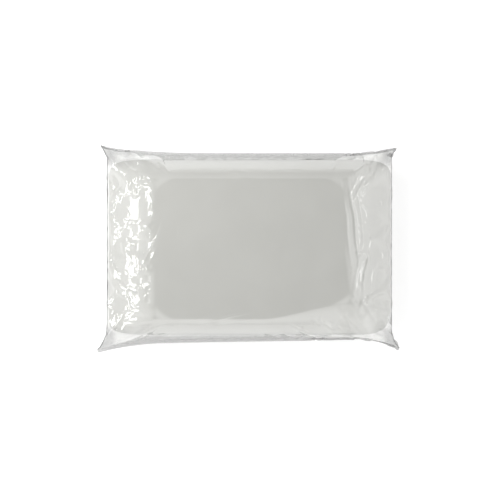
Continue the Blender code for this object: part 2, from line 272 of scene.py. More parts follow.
def refined_copy(node: str, name: str, bevel: float, sharp: float = 35.0) -> bpy.types.Object:
    """A copy of a CAD node with its doubled points merged and its edges rounded.

    Args:
        node: The CAD node.
        name: Name of the new piece.
        bevel: Width of the rounded edges, in metres.
        sharp: Angle past which an edge is rounded, in degrees.

    Returns:
        The new piece, which stands for the node.
    """
    shape = bmesh.new()
    shape.from_mesh(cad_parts[node].data)
    bmesh.ops.remove_doubles(shape, verts=shape.verts, dist=1e-6)
    bmesh.ops.dissolve_limit(shape, angle_limit=math.radians(1), verts=shape.verts, edges=shape.edges)
    mesh = bpy.data.meshes.new(name)
    shape.to_mesh(mesh)
    shape.free()
    source = placed(name + "_source", mesh)
    rounding = source.modifiers.new("rounding", "BEVEL")
    rounding.width = bevel
    rounding.segments = 2
    rounding.limit_method = "ANGLE"
    rounding.angle_limit = math.radians(sharp)
    piece = evaluated_copy(source, name)
    piece.data.shade_smooth()
    piece.data.set_sharp_from_angle(angle=math.radians(40))
    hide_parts(node)
    return piece


def give(piece: bpy.types.Object, material: bpy.types.Material, body: str = BODY) -> None:
    """Dress a finished piece and let it ride on its body.

    Args:
        piece: The piece.
        material: Its material.
        body: The body that it moves with.
    """
    piece.data.materials.clear()
    piece.data.materials.append(material)
    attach(piece, body)


# Finishes


@dataclass
class Graph:
    """A node tree, with a short call that adds a node and joins its inputs."""

    tree: bpy.types.NodeTree
    prefix: ClassVar[str] = ""

    def add(self, kind: str, inputs: dict | None = None, **settings: object) -> bpy.types.Node:
        """Add a node.

        Args:
            kind: The node's type, without the prefix that most nodes of this tree have.
            inputs: A value or an output socket for each input, by the input's name or number.
            **settings: The node's own properties.

        Returns:
            The node.
        """
        full = kind if kind.startswith("Function") else self.prefix + kind
        node = self.tree.nodes.new(full)
        for key, value in settings.items():
            setattr(node, key, value)
        for key, value in (inputs or {}).items():
            if isinstance(value, bpy.types.NodeSocket):
                self.tree.links.new(value, node.inputs[key])
            else:
                node.inputs[key].default_value = value
        return node


class ShaderTree(Graph):
    """A material's or a world's nodes."""

    prefix = "ShaderNode"

    def maths(self, operation: str, *values: object) -> bpy.types.NodeSocket:
        """The result of a maths operation on numbers or sockets."""
        return self.add("Math", dict(enumerate(values)), operation=operation).outputs[0]

    def blend(self, share: object, low: Colour, high: Colour) -> bpy.types.NodeSocket:
        """A colour that goes from low to high as share goes from 0 to 1."""
        mix = self.add("Mix", {0: share}, data_type="RGBA")
        mix.inputs[6].default_value = (*low, 1)
        mix.inputs[7].default_value = (*high, 1)
        return mix.outputs[2]

    def noise(self, place: object, scale: float, detail: float = 2.0) -> bpy.types.NodeSocket:
        """A noise value from 0 to 1 at a place."""
        settings = {"Vector": place, "Scale": scale, "Detail": detail}
        return self.add("TexNoise", settings).outputs["Fac"]

    def object_place(self) -> bpy.types.NodeSocket:
        """The object coordinates."""
        return self.add("TexCoord").outputs["Object"]

    def flat_place(self) -> bpy.types.NodeSocket:
        """The place in the cloth's flat cut."""
        return self.add("UVMap", uv_map=FLAT_MAP).outputs["UV"]

    def bands(self, place: object, pitch: float, direction: str, warp: float = 0.0) -> bpy.types.NodeSocket:
        """Waves of a given pitch in metres across one direction, X, Y or DIAGONAL."""
        waves = {"Vector": place, "Scale": 2 * math.pi / 20 / pitch, "Distortion": warp}
        node = self.add("TexWave", waves, wave_type="BANDS", bands_direction=direction)
        return node.outputs["Fac"]

    def bump(self, height: object, distance: float, strength: float = 1.0) -> bpy.types.NodeSocket:
        """A bumped normal from a height of 0 to 1 and the depth that it stands for."""
        bump = {"Height": height, "Distance": distance, "Strength": strength}
        return self.add("Bump", bump).outputs["Normal"]

    def sheet(self, share: object, through: object, film: dict) -> bpy.types.Node:
        """A clear sheet.

        Args:
            share: Share of the light that the sheet's own surface sends back.
            through: The colour that the rest takes on its way through.
            film: Inputs of the surface's shader.

        Returns:
            The shader.
        """
        mix = self.add("MixShader", {0: share})
        layers = (self.add("BsdfTransparent", {"Color": through}), self.add("BsdfPrincipled", film))
        for slot, layer in enumerate(layers, start=1):
            self.tree.links.new(layer.outputs[0], mix.inputs[slot])
        return mix


@dataclass(frozen=True)
class Finish:
    """A material, made of nodes."""

    name: str

    def make(self) -> bpy.types.Material:
        """Build the material."""
        material = bpy.data.materials.new(self.name)
        material.use_nodes = True
        material.node_tree.nodes.clear()
        tree = ShaderTree(material.node_tree)
        tree.add("OutputMaterial", {"Surface": self.shader(tree).outputs[0]})
        return material

    def shader(self, tree: ShaderTree) -> bpy.types.Node:
        """Add this finish's nodes, and return the last one."""
        raise NotImplementedError


@dataclass(frozen=True)
class KnitFinish(Finish):
    """A fine jersey knit: columns of small loops on a soft, slightly uneven ground."""

    light: Colour
    dark: Colour
    wale: float = 0.0011
    course: float = 0.0009
    depth: float = 0.00012
    sheen: float = 0.25

    def shader(self, tree: ShaderTree) -> bpy.types.Node:
        """The finish's nodes."""
        place = tree.flat_place()
        wales = tree.bands(place, self.wale, "X", 0.6)
        courses = tree.bands(place, self.course, "Y", 0.9)
        loops = tree.maths("MULTIPLY", wales, tree.maths("MULTIPLY_ADD", courses, 0.5, 0.5))
        fuzz = tree.noise(place, 900.0)
        height = tree.maths("MULTIPLY_ADD", fuzz, 0.4, loops)
        patches = tree.noise(place, 9.0, 4.0)
        share = tree.maths("MULTIPLY_ADD", loops, 0.35, tree.maths("MULTIPLY", patches, 0.65))
        knit = {
            "Base Color": tree.blend(share, self.dark, self.light),
            "Roughness": 0.85,
            "Specular IOR Level": 0.25,
            "Sheen Weight": self.sheen,
            "Sheen Roughness": 0.5,
            "Normal": tree.bump(height, self.depth, 0.6),
        }
        return tree.add("BsdfPrincipled", knit)


@dataclass(frozen=True)
class FilmFinish(Finish):
    """Clear packing film: see-through, glossy at a glance, with a breath of haze in patches, and painted shade
    along its margins.
    """

    tint: Colour
    gloss: Colour = (0.97, 0.97, 0.97)
    facing: float = 0.17  # share reflected when seen square on
    edge: float = 0.65  # more of it at a glancing angle
    haze: float = 0.04
    roughness: float = 0.07
    crinkle: float = 0.0004
    edge_shade_tint: Colour = (0.735, 0.735, 0.732)  # painted shade: the film's darker colour beside the seals and in the corners, for the shade under the bag's margins
    clear_to: float = 0.198  # distance from the middle of the flat film at which that starts
    corner_from: tuple[float, float] = (0.282, 0.165)
    side_from: float = 0.312
    fade: float = 0.02  # over which it comes in

    def shader(self, tree: ShaderTree) -> bpy.types.Node:
        """The finish's nodes."""
        place = tree.flat_place()
        fine = tree.noise(place, 160.0, 3.0)
        wide = tree.noise(place, 22.0, 3.0)
        normal = tree.bump(tree.maths("MULTIPLY_ADD", fine, 0.35, wide), self.crinkle, 0.5)
        margin_shade = self.margin_shade(tree, place)
        glance = tree.add("LayerWeight", {"Blend": 0.5, "Normal": normal}).outputs["Facing"]
        rim = tree.maths("POWER", glance, 4.0)
        cloud = tree.maths("MULTIPLY_ADD", wide, self.haze, self.facing)
        share = tree.maths("MULTIPLY_ADD", rim, self.edge, cloud)
        # painted shade: less reflection beside the seals and in the corners
        share = tree.maths("MULTIPLY", share, tree.maths("MULTIPLY_ADD", margin_shade, -0.45, 1.0))
        sheet = {
            "Base Color": (*self.gloss, 1),
            "Metallic": 1.0,
            "Roughness": tree.maths("MULTIPLY_ADD", fine, 0.06, self.roughness),
            "Normal": normal,
        }
        # painted shade: the film's colour turns darker beside the seals and in the corners
        through = tree.blend(margin_shade, self.tint, self.edge_shade_tint)
        return tree.sheet(tree.maths("MINIMUM", share, 0.98), through, sheet)

    def margin_shade(self, tree: ShaderTree, place: bpy.types.NodeSocket) -> bpy.types.NodeSocket:
        """1 beside the seals and in the bag's corners, where painted shade darkens the film and dims its
        reflections, for the shade under the bag's margins.
        """
        parts = tree.add("SeparateXYZ", {0: place})

        def past(axis: str, start: float) -> bpy.types.NodeSocket:
            """1 where the film is further than start from its middle."""
            away = tree.maths("ABSOLUTE", parts.outputs[axis])
            limits = {"Value": away, "From Min": start, "From Max": start + self.fade}
            return tree.add("MapRange", limits, interpolation_type="SMOOTHSTEP").outputs[0]

        corner_x, corner_y = self.corner_from
        corner = tree.maths("MULTIPLY", past("X", corner_x), past("Y", corner_y))
        edges = tree.maths("MAXIMUM", past("X", self.side_from), past("Y", self.clear_to))
        return tree.maths("MAXIMUM", edges, corner)


@dataclass(frozen=True)
class SealFinish(Finish):
    """Film welded to itself: milky, finely grained, darker than the clear sheet, partly as painted shade where
    it lies along the bag's edges.
    """

    light: Colour = (0.62, 0.62, 0.61)
    dark: Colour = (0.40, 0.40, 0.40)
    clear: float = 0.45  # share of light that goes straight through
    grain: float = 0.0011

    def shader(self, tree: ShaderTree) -> bpy.types.Node:
        """The finish's nodes."""
        place = tree.object_place()
        grain = tree.add("TexVoronoi", {"Vector": place, "Scale": 1 / self.grain}).outputs["Distance"]
        clouds = tree.noise(place, 60.0, 3.0)
        film = {
            "Base Color": tree.blend(clouds, self.dark, self.light),
            "Roughness": tree.maths("MULTIPLY_ADD", grain, 0.2, 0.16),
            "Specular IOR Level": 0.7,
            "Normal": tree.bump(grain, 0.0002, 0.5),
        }
        share = tree.maths("MULTIPLY_ADD", clouds, 0.2, 0.9 - self.clear)
        return tree.sheet(share, (0.95, 0.95, 0.95, 1), film)


@dataclass(frozen=True)
class FoamFinish(Finish):
    """Memory foam: cream, matt, with small open pores and a few larger ones."""

    light: Colour = (0.80, 0.75, 0.60)
    dark: Colour = (0.66, 0.58, 0.42)
    pore: float = 0.0016

    def shader(self, tree: ShaderTree) -> bpy.types.Node:
        """The finish's nodes."""
        place = tree.object_place()
        pores = tree.add("TexVoronoi", {"Vector": place, "Scale": 1 / self.pore}).outputs["Distance"]
        large = tree.noise(place, 260.0, 3.0)
        height = tree.maths("MULTIPLY_ADD", large, 0.6, pores)
        foam = {
            "Base Color": tree.blend(height, self.dark, self.light),
            "Roughness": 0.95,
            "Specular IOR Level": 0.2,
            "Normal": tree.bump(height, 0.0006, 0.8),
        }
        return tree.add("BsdfPrincipled", foam)


@dataclass(frozen=True)
class WovenFinish(Finish):
    """A tight weave, as on the zip's tapes and on a satin label."""

    light: Colour
    dark: Colour
    pitch: float = 0.0006
    depth: float = 0.0001
    roughness: float = 0.7

    def shader(self, tree: ShaderTree) -> bpy.types.Node:
        """The finish's nodes."""
        place = tree.object_place()
        turned = tree.add("Mapping", {"Vector": place, "Rotation": (math.pi / 2, 0, 0)}).outputs[0]
        warp = tree.bands(turned, self.pitch, "X", 0.4)
        weft = tree.bands(turned, self.pitch, "Y", 0.4)
        twill = tree.bands(turned, self.pitch * 4, "DIAGONAL", 0.3)
        height = tree.maths("MULTIPLY_ADD", twill, 0.6, tree.maths("MULTIPLY", warp, weft))
        cloud = tree.noise(place, 120.0)
        share = tree.maths("MULTIPLY_ADD", height, 0.5, tree.maths("MULTIPLY", cloud, 0.5))
        cloth = {
            "Base Color": tree.blend(share, self.dark, self.light),
            "Roughness": self.roughness,
            "Sheen Weight": 0.2,
            "Normal": tree.bump(height, self.depth, 0.8),
        }
        return tree.add("BsdfPrincipled", cloth)


@dataclass(frozen=True)
class ThreadFinish(Finish):
    """Sewing thread or coil wire: a fine twist along its length."""

    light: Colour
    dark: Colour
    roughness: float = 0.5
    twist: float = 0.0004

    def shader(self, tree: ShaderTree) -> bpy.types.Node:
        """The finish's nodes."""
        place = tree.object_place()
        twist = tree.bands(place, self.twist, "DIAGONAL", 0.5)
        wear = tree.noise(place, 300.0, 3.0)
        share = tree.maths("MULTIPLY_ADD", twist, 0.4, tree.maths("MULTIPLY", wear, 0.6))
        thread = {
            "Base Color": tree.blend(share, self.dark, self.light),
            "Roughness": self.roughness,
            "Normal": tree.bump(twist, 0.00004, 0.6),
        }
        return tree.add("BsdfPrincipled", thread)


@dataclass(frozen=True)
class MetalFinish(Finish):
    """Plated zinc under white lacquer, rubbed a little by handling."""

    lacquer: Colour = (0.80, 0.80, 0.79)
    rubbed: Colour = (0.58, 0.58, 0.60)

    def shader(self, tree: ShaderTree) -> bpy.types.Node:
        """The finish's nodes."""
        place = tree.object_place()
        scuffs = tree.noise(place, 420.0, 5.0)
        wear = tree.maths("POWER", scuffs, 3.0)
        metal = {
            "Base Color": tree.blend(wear, self.lacquer, self.rubbed),
            "Metallic": 0.35,
            "Roughness": tree.maths("MULTIPLY_ADD", scuffs, 0.25, 0.18),
            "Coat Weight": 0.4,
            "Coat Roughness": 0.15,
            "Normal": tree.bump(scuffs, 0.00003, 0.5),
        }
        return tree.add("BsdfPrincipled", metal)


# What repeats, by Geometry Nodes


class Motif(Enum):
    """What a path repeats."""

    STITCH = "MeshUVSphere"
    RIB = "MeshCube"


class NodeTree(Graph):
    """A Geometry Nodes tree with named inputs."""

    prefix = "GeometryNode"

    def __init__(self, name: str) -> None:
        """Start a tree with one geometry input and one geometry output."""
        super().__init__(bpy.data.node_groups.new(name, "GeometryNodeTree"))
        self.tree.interface.new_socket("Geometry", in_out="INPUT", socket_type="NodeSocketGeometry")
        self.tree.interface.new_socket("Geometry", in_out="OUTPUT", socket_type="NodeSocketGeometry")
        self.sockets: dict[str, str] = {}
        self.start = self.tree.nodes.new("NodeGroupInput")
        self.end = self.tree.nodes.new("NodeGroupOutput")

    def size(self, name: str, kind: str = "Float") -> bpy.types.NodeSocket:
        """Add a named input of a kind, and return its socket inside the tree."""
        made = self.tree.interface.new_socket(name, in_out="INPUT", socket_type="NodeSocket" + kind)
        self.sockets[name] = made.identifier
        return next(s for s in self.start.outputs if s.identifier == made.identifier)

    def finish(self, shape: bpy.types.NodeSocket, material: bpy.types.NodeSocket) -> None:
        """Make the shape real, set its material and send it out."""
        real = self.add("RealizeInstances", {"Geometry": shape})
        dressed = self.add("SetMaterial", {"Geometry": real.outputs[0], "Material": material})
        self.tree.links.new(dressed.outputs[0], self.end.inputs[0])

    def run(self, name: str, carrier: bpy.types.Object, sizes: dict[str, object]) -> bpy.types.Object:
        """Run the tree on a carrier object.

        Args:
            name: Name of the piece to make.
            carrier: The object that holds the input geometry. It is removed.
            sizes: A value for each named input.

        Returns:
            The result as a plain mesh piece.
        """
        modifier = carrier.modifiers.new("repeat", "NODES")
        modifier.node_group = self.tree
        for key, value in sizes.items():
            modifier[self.sockets[key]] = value
        return evaluated_copy(carrier, name)


@dataclass
class PathRepeat:
    """Small shapes set along a path, such as stitches or the ribs of a crimp."""

    name: str
    motif: Motif
    pitch: float
    length: float
    width: float
    height: float
    across: bool = False  # the shape's length lies across the path and not along it

    def tree(self) -> NodeTree:
        """Build the tree that sets the motif along a curve, with its top along the up attribute."""
        nodes = NodeTree(self.name + "_tree")
        pitch = nodes.size("Pitch")
        scale = nodes.size("Size", "Vector")
        material = nodes.size("Material", "Material")
        path = nodes.add("MeshToCurve", {"Mesh": nodes.start.outputs[0]})
        even = nodes.add("ResampleCurve", {"Curve": path.outputs[0], "Length": pitch}, mode="LENGTH")
        tangent = nodes.add("InputTangent").outputs[0]
        up = nodes.add("InputNamedAttribute", {"Name": "up"}, data_type="FLOAT_VECTOR").outputs[0]
        turn, axis = "FunctionNodeAlignRotationToVector", "Y" if self.across else "X"
        along = {"Rotation": nodes.add(turn, {"Vector": tangent}, axis=axis).outputs[0], "Vector": up}
        standing = nodes.add(turn, along, axis="Z", pivot_axis=axis)
        if self.motif is Motif.STITCH:
            shape = nodes.add(self.motif.value, {"Segments": 8, "Rings": 4, "Radius": 0.5})
        else:
            shape = nodes.add(self.motif.value, {"Size": (1.0, 1.0, 1.0)})
        sized = nodes.add("Transform", {"Geometry": shape.outputs[0], "Scale": scale})
        smooth = nodes.add("SetShadeSmooth", {"Geometry": sized.outputs[0]})
        setting = {"Points": even.outputs[0], "Instance": smooth.outputs[0], "Rotation": standing.outputs[0]}
        nodes.finish(nodes.add("InstanceOnPoints", setting).outputs[0], material)
        return nodes

    def make(self, path: Array, ups: Array, material: bpy.types.Material) -> bpy.types.Object:
        """Set the shapes along a path.

        Args:
            path: The path's points.
            ups: The direction that each shape's top faces, at each point.
            material: The shapes' material.

        Returns:
            The piece.
        """
        mesh = bpy.data.meshes.new(self.name)
        mesh.from_pydata(path.tolist(), [(at, at + 1) for at in range(len(path) - 1)], [])
        attribute = mesh.attributes.new("up", "FLOAT_VECTOR", "POINT")
        attribute.data.foreach_set("vector", np.ascontiguousarray(ups, np.float32).ravel())
        carrier = placed(self.name + "_path", mesh)
        size = (self.length, self.width, self.height)
        return self.tree().run(self.name, carrier, {"Pitch": self.pitch, "Size": size, "Material": material})


@dataclass
class WireCoil:
    """One row of a coil zip: a wire wound along X in a flattened helix."""

    name: str
    pitch: float = 0.0015
    wire: float = 0.00055
    height: float = 0.0023
    depth: float = 0.0018

    def make(self, start: Vector, length: float, material: bpy.types.Material) -> bpy.types.Object:
        """Wind the coil.

        Args:
            start: The middle of the coil's left end.
            length: The coil's length along X.
            material: The wire's material.

        Returns:
            The piece.
        """
        nodes = NodeTree(self.name + "_tree")
        turns = nodes.size("Turns")
        reach = nodes.size("Length")
        flatten = nodes.size("Flatten", "Vector")
        place = nodes.size("Place", "Vector")
        thick = nodes.size("Wire Radius")
        dress = nodes.size("Material", "Material")
        winding = {"Resolution": 9, "Rotations": turns, "Start Radius": 1.0, "End Radius": 1.0, "Height": reach}
        spiral = nodes.add("CurveSpiral", winding)
        flat = nodes.add("Transform", {"Geometry": spiral.outputs[0], "Scale": flatten})
        laid = {"Geometry": flat.outputs[0], "Rotation": (0.0, math.pi / 2, 0.0), "Translation": place}
        lying = nodes.add("Transform", laid)
        round_wire = nodes.add("CurvePrimitiveCircle", {"Resolution": 5, "Radius": thick})
        tube = {"Curve": lying.outputs[0], "Profile Curve": round_wire.outputs[0], "Fill Caps": True}
        wound = nodes.add("CurveToMesh", tube)
        smooth = nodes.add("SetShadeSmooth", {"Geometry": wound.outputs[0]})
        nodes.finish(smooth.outputs[0], dress)
        carrier = placed(self.name + "_seat", bpy.data.meshes.new(self.name))
        sizes = {
            "Turns": length / self.pitch,
            "Length": length,
            "Flatten": ((self.height - self.wire) / 2, (self.depth - self.wire) / 2, 1.0),
            "Place": tuple(start),
            "Wire Radius": self.wire / 2,
            "Material": material,
        }
        return nodes.run(self.name, carrier, sizes)


# The pillow's shape


@dataclass(frozen=True)
class PillowForm:
    """The pillow's outside: flat top and bottom, sloping shoulders, squarish corners in plan.

    The front shoulder is a little slacker towards the right, as on foam that was pressed unevenly.
    Heights are measured from the seam.
    """

    half_length: float
    half_width: float
    half_height: float
    middle: float  # height of the seam above the floor
    shoulder_along: float = 0.105
    shoulder_across: float = 0.045
    corner_power: float = 3.5
    section_power: float = 1.5
    right_gain: float = 0.016  # by how much the flat top is longer at the front right
    front_gain: float = 0.007  # by how much it is wider at the front
    front_loss: float = 0.034  # by how much it narrows again towards the front right corner
    gain_over: float = 0.16  # distance across over which the right gain comes in
    skew_from: float = 0.02  # distance along at which the front loss starts
    skew_reach: float = 0.20
    slump: float = 0.05  # share of the height that is missing at the flat top's corners
    slump_from: float = 1.35  # nearness to a corner, of 2, at which that starts
    slump_over: float = 0.65

    @classmethod
    def from_frame(cls) -> "PillowForm":
        """The form that the CAD's cover has."""
        low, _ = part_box("cover_bottom_panel")
        _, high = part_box("cover_top_panel")
        half = (high - low) / 2
        return cls(half.x, half.y, half.z, (low.z + high.z) / 2)

    def flat_reach(self, x: Array, y: Array) -> tuple[Array, Array]:
        """How far the flat top reaches along and across, beside each point."""
        along = self.half_length - self.shoulder_along + self.right_gain * ramp(-y / self.gain_over) * (x > 0)
        skew = self.front_gain - self.front_loss * ramp((x - self.skew_from) / self.skew_reach)
        across = self.half_width - self.shoulder_across + skew * (y < 0)
        return along, across

    def height_share(self, x: Array, y: Array) -> Array:
        """Share of the full height beside each point: the corners of the flat top are rounded off."""
        along, across = self.flat_reach(x, y)
        near = np.minimum(np.abs(x) / along, 1) ** 4 + np.minimum(np.abs(y) / across, 1) ** 4
        return 1 - self.slump * ramp((near - self.slump_from) / self.slump_over)

    def push_out(self, points: Array, side: Array, offset: float, half_height: float) -> None:
        """Move the points that are inside the form to just outside it.

        Args:
            points: The points, with Z from the seam. They are changed in place.
            side: 1 where a point belongs above the seam, -1 below.
            offset: Distance to keep from the form.
            half_height: Half the form's height, which grows while the film is relaxed.
        """
        x, y, z = points[..., 0], points[..., 1], points[..., 2]
        flat_x, flat_y = self.flat_reach(x, y)
        reach_x = self.half_length - flat_x + offset
        reach_y = self.half_width - flat_y + offset
        reach_z = half_height * self.height_share(x, y) + offset
        corner, section = self.corner_power, self.section_power
        for _ in range(2):
            out_x = np.maximum(np.abs(x) - flat_x, 0) / reach_x
            out_y = np.maximum(np.abs(y) - flat_y, 0) / reach_y
            up = np.maximum(z * side, 0.0004) / reach_z
            plan = (out_x**corner + out_y**corner) ** (1 / corner)
            level = np.maximum(plan**section + up**section, 1e-9) ** (1 / section)
            inside = level < 1
            if not inside.any():
                return
            plan = np.maximum(plan, 1e-9)
            bend = (plan / level) ** (section - 1)
            slope_x = bend * (out_x / plan) ** (corner - 1) / reach_x * np.sign(x)
            slope_y = bend * (out_y / plan) ** (corner - 1) / reach_y * np.sign(y)
            slope_z = (up / level) ** (section - 1) / reach_z
            steep = np.sqrt(slope_x**2 + slope_y**2 + slope_z**2 + 1e-12)
            move = np.where(inside, np.minimum((1 - level) / steep, 0.004) / steep, 0)
            x += move * slope_x
            y += move * slope_y
            z += move * slope_z * side

    def out_at(self, height: Array | float, inset: float) -> Array | float:
        """How far out of its shoulder the form's side is at a height, as a share of the shoulder."""
        rise = (abs(height) / (self.half_height - inset)) ** self.section_power
        return (1 - rise) ** (1 / self.section_power)

    def shell(
        self, side: int, side_inset: float, face_inset: float, step: float, lips: "ZipLips | None" = None
    ) -> tuple[Array, Array]:
        """A grid of points over the upper or lower half of the form.

        Args:
            side: 1 for the upper half, -1 for the lower one.
            side_inset: How far inside the form the shell lies at its sides.
            face_inset: How far inside it lies at the flat face.
            step: Distance between points on the flat face.
            lips: The zip's opening in the front seam, if the shell has one.

        Returns:
            The points, with Z from the floor, and their places in the flat cut.
        """
        shares_x, flats_x = self.stations(self.half_length, self.shoulder_along, step)
        shares_y, flats_y = self.stations(self.half_width, self.shoulder_across, step)
        share_x, share_y = np.meshgrid(shares_x, shares_y)
        out_x, out_y = np.maximum(np.abs(share_x) - 1, 0), np.maximum(np.abs(share_y) - 1, 0)
        flat_x, flat_y = np.clip(share_x, -1, 1), np.clip(share_y, -1, 1)
        x, y = flat_x * self.half_length, flat_y * self.half_width
        reach_z = self.half_height - face_inset
        if lips is not None:
            out_y = np.where(share_y < -1, lips.lifted(out_y, x, reach_z, self.section_power), out_y)
        for _ in range(SETTLING_ROUNDS):
            most = np.maximum(out_x, out_y)
            norm = (out_x**self.corner_power + out_y**self.corner_power) ** (1 / self.corner_power)
            fit = np.where(norm > 0, most / np.maximum(norm, 1e-9), 1.0)
            reach_flat_x, reach_flat_y = self.flat_reach(x, y)
            reach_x = self.half_length - side_inset - reach_flat_x
            reach_y = self.half_width - side_inset - reach_flat_y
            x = flat_x * reach_flat_x + np.sign(share_x) * reach_x * out_x * fit
            y = flat_y * reach_flat_y + np.sign(share_y) * reach_y * out_y * fit
        rise = np.maximum(1 - most**self.section_power, 0) ** (1 / self.section_power)
        rise *= self.half_height * self.height_share(x, y) - face_inset
        z = self.middle + side * np.maximum(rise, TOUCH_GAP / 2)
        flats = np.stack(np.meshgrid(flats_x, flats_y), axis=-1)
        return np.stack([x, y, z], axis=-1), flats

    def stations(self, half: float, shoulder: float, step: float) -> tuple[Array, Array]:
        """Stations across the form: -1 to 1 over the flat top, and to -2 and 2 down the shoulders."""
        flat_half = half - shoulder
        girth = shoulder * 0.55 + self.half_height * 0.85  # near enough to the section's length
        steps = max(int(girth / step), 8)
        slopes = math.pi / 2 * (1 - np.arange(1, steps + 1) / steps)
        outs = 1 + np.cos(slopes) ** (2 / self.section_power)
        outs[-1] = 2.0
        count = int(2 * flat_half / step)
        flat = np.linspace(-1, 1, count + 1)
        shares = np.concatenate([-outs[::-1], flat, outs])
        cut = flat_half + girth * np.arange(1, steps + 1) / steps
        return shares, np.concatenate([-cut[::-1], flat * flat_half, cut])


@dataclass(frozen=True)
class ZipLips:
    """The opening in the cover's front seam, behind which the zip's chain lies."""

    half_length: float
    half_height: float
    taper: float = 0.004

    def height(self, x: Array) -> Array:
        """How far a lip stands from the seam's line."""
        return self.half_height * (1 - ramp((np.abs(x) - self.half_length) / self.taper))

    def lifted(self, out: Array, x: Array, reach: float, power: float) -> Array:
        """The shares out of a shoulder, pressed up so that its edge ends at the lip."""
        lip = np.arcsin((np.maximum(self.height(x), 0) / reach) ** (power / 2))
        slope = np.arccos(np.clip(out, 0, 1) ** (power / 2))
        slope = lip + (math.pi / 2 - lip) * slope / (math.pi / 2)
        return np.cos(slope) ** (2 / power)


# The cover and what is inside it


@dataclass
class KnitCover:
    """The zipped knit cover: an upper and a lower panel, sewn together round the middle."""

    form: PillowForm
    lips: ZipLips
    step: float = 0.0065
    inset: float = 0.0012  # from the CAD's outside, so that the cloth has room to swell
    wall: float = 0.0009
    pressure: float = 1.6
    most_swell: float = 0.0010
    frames: int = 16
    seam_pitch: float = 0.0034
    seam_trim: float = 0.3815178  # of the zip's quarter turns, which the seam leaves out
    finish: KnitFinish = KnitFinish("cover_knit", (0.695, 0.695, 0.673), (0.585, 0.585, 0.563))
    thread: ThreadFinish = ThreadFinish("cover_thread", (0.74, 0.74, 0.72), (0.62, 0.62, 0.60))

    def build(self) -> list[bpy.types.Object]:
        """Build both panels and the seams."""
        knit, thread = self.finish.make(), self.thread.make()
        pieces = [self.panel(1, "cover_top", knit), self.panel(-1, "cover_bottom", knit)]
        pieces.append(self.seam(thread))
        pieces += [self.lip_stitches(side, thread) for side in (1, -1)]
        return pieces

    def panel(self, side: int, name: str, material: bpy.types.Material) -> bpy.types.Object:
        """One panel, relaxed as cloth over the foam and then given its wall."""
        points, flats = self.form.shell(side, self.inset, self.inset, self.step, self.lips)
        piece = cloth_piece(name + "_cloth", points, flats, flip=side < 0)
        self.relax(piece, points)
        smooth = piece.modifiers.new("smooth", "SUBSURF")
        smooth.levels = smooth.render_levels = 1
        piece = walled_copy(piece, name, self.wall)
        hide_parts(name + "_panel")
        give(piece, material)
        return piece

    def relax(self, piece: bpy.types.Object, points: Array) -> None:
        """Let the panel swell as cloth with its edge held, no further than the film allows.

        Args:
            piece: The open panel.
            points: Its grid of points.
        """
        rows, columns = points.shape[:2]
        edge = np.zeros((rows, columns), bool)
        edge[[0, 1, -2, -1], :] = True
        edge[:, [0, 1, -2, -1]] = True
        held = piece.vertex_groups.new(name="held")
        held.add(np.flatnonzero(edge.ravel()).tolist(), 1.0, "REPLACE")
        cloth = piece.modifiers.new("cloth", "CLOTH")
        cloth.settings.quality = 5
        cloth.settings.mass = 0.2
        cloth.settings.vertex_group_mass = held.name
        cloth.settings.use_pressure = True
        cloth.settings.uniform_pressure_force = self.pressure
        cloth.settings.shrink_min = -0.012
        cloth.settings.effector_weights.gravity = 0
        cloth.collision_settings.use_collision = False
        cloth.point_cache.frame_start = 1
        cloth.point_cache.frame_end = self.frames
        for step in range(1, self.frames + 1):
            bpy.context.scene.frame_set(step)
        graph = bpy.context.evaluated_depsgraph_get()
        swollen = np.empty(points.size, np.float32)
        piece.evaluated_get(graph).data.vertices.foreach_get("co", swollen)
        moved = swollen.reshape(-1, 3) - points.reshape(-1, 3)
        far = np.linalg.norm(moved, axis=1, keepdims=True)
        limit = self.most_swell * np.tanh(far / self.most_swell)
        placed = points.reshape(-1, 3) + moved * limit / np.maximum(far, 1e-9)
        piece.modifiers.remove(cloth)
        bpy.context.scene.frame_set(1)
        piece.data.vertices.foreach_set("co", np.ascontiguousarray(placed, np.float32).ravel())
        piece.data.update()

    def outline(self, inset: float, height: float, low: float, high: float, count: int) -> tuple[Array, Array]:
        """Points round the form at one height, and the directions out from it.

        Args:
            inset: How far inside the form they lie.
            height: Height from the seam.
            low: Where the line starts, in quarter turns from +X.
            high: Where it ends.
            count: How many points.

        Returns:
            The points, with Z from the floor, and the directions out.
        """
        turn = np.linspace(low, high, count) * math.pi / 2
        share_x, share_y = np.cos(turn), np.sin(turn)
        power = 2 / self.form.corner_power
        out = self.form.out_at(height, inset)
        x, y = share_x * self.form.half_length, share_y * self.form.half_width
        for _ in range(SETTLING_ROUNDS):
            flat_x, flat_y = self.form.flat_reach(x, y)
            reach_x = (self.form.half_length - inset - flat_x) * out
            reach_y = (self.form.half_width - inset - flat_y) * out
            x = np.sign(share_x) * (flat_x + reach_x * np.abs(share_x) ** power)
            y = np.sign(share_y) * (flat_y + reach_y * np.abs(share_y) ** power)
        points = np.stack([x, y, np.full(count, self.form.middle + height)], axis=1)
        tangent = np.gradient(points, axis=0)
        outward = np.stack([tangent[:, 1], -tangent[:, 0], np.zeros(count)], axis=1)
        return points, unit(outward)

    def seam(self, material: bpy.types.Material) -> bpy.types.Object:
        """The stitches that join the panels, from one end of the zip round the back to the other."""
        zip_turn = 1 - math.acos(self.lips.half_length / self.form.half_length) / (math.pi / 2)
        trim = zip_turn * self.seam_trim
        points, outward = self.outline(self.inset, 0.0, trim - 1, 3 - trim, 720)
        shown = ~((points[:, 1] < 0) & (np.abs(points[:, 0]) < self.lips.half_length + self.lips.taper))
        stitch = (0.0026, 0.0005, 0.0006)
        stitches = PathRepeat("cover_seam_stitches", Motif.STITCH, self.seam_pitch, *stitch, across=True)
        piece = stitches.make(points[shown], outward[shown], material)
        give(piece, material)
        return piece

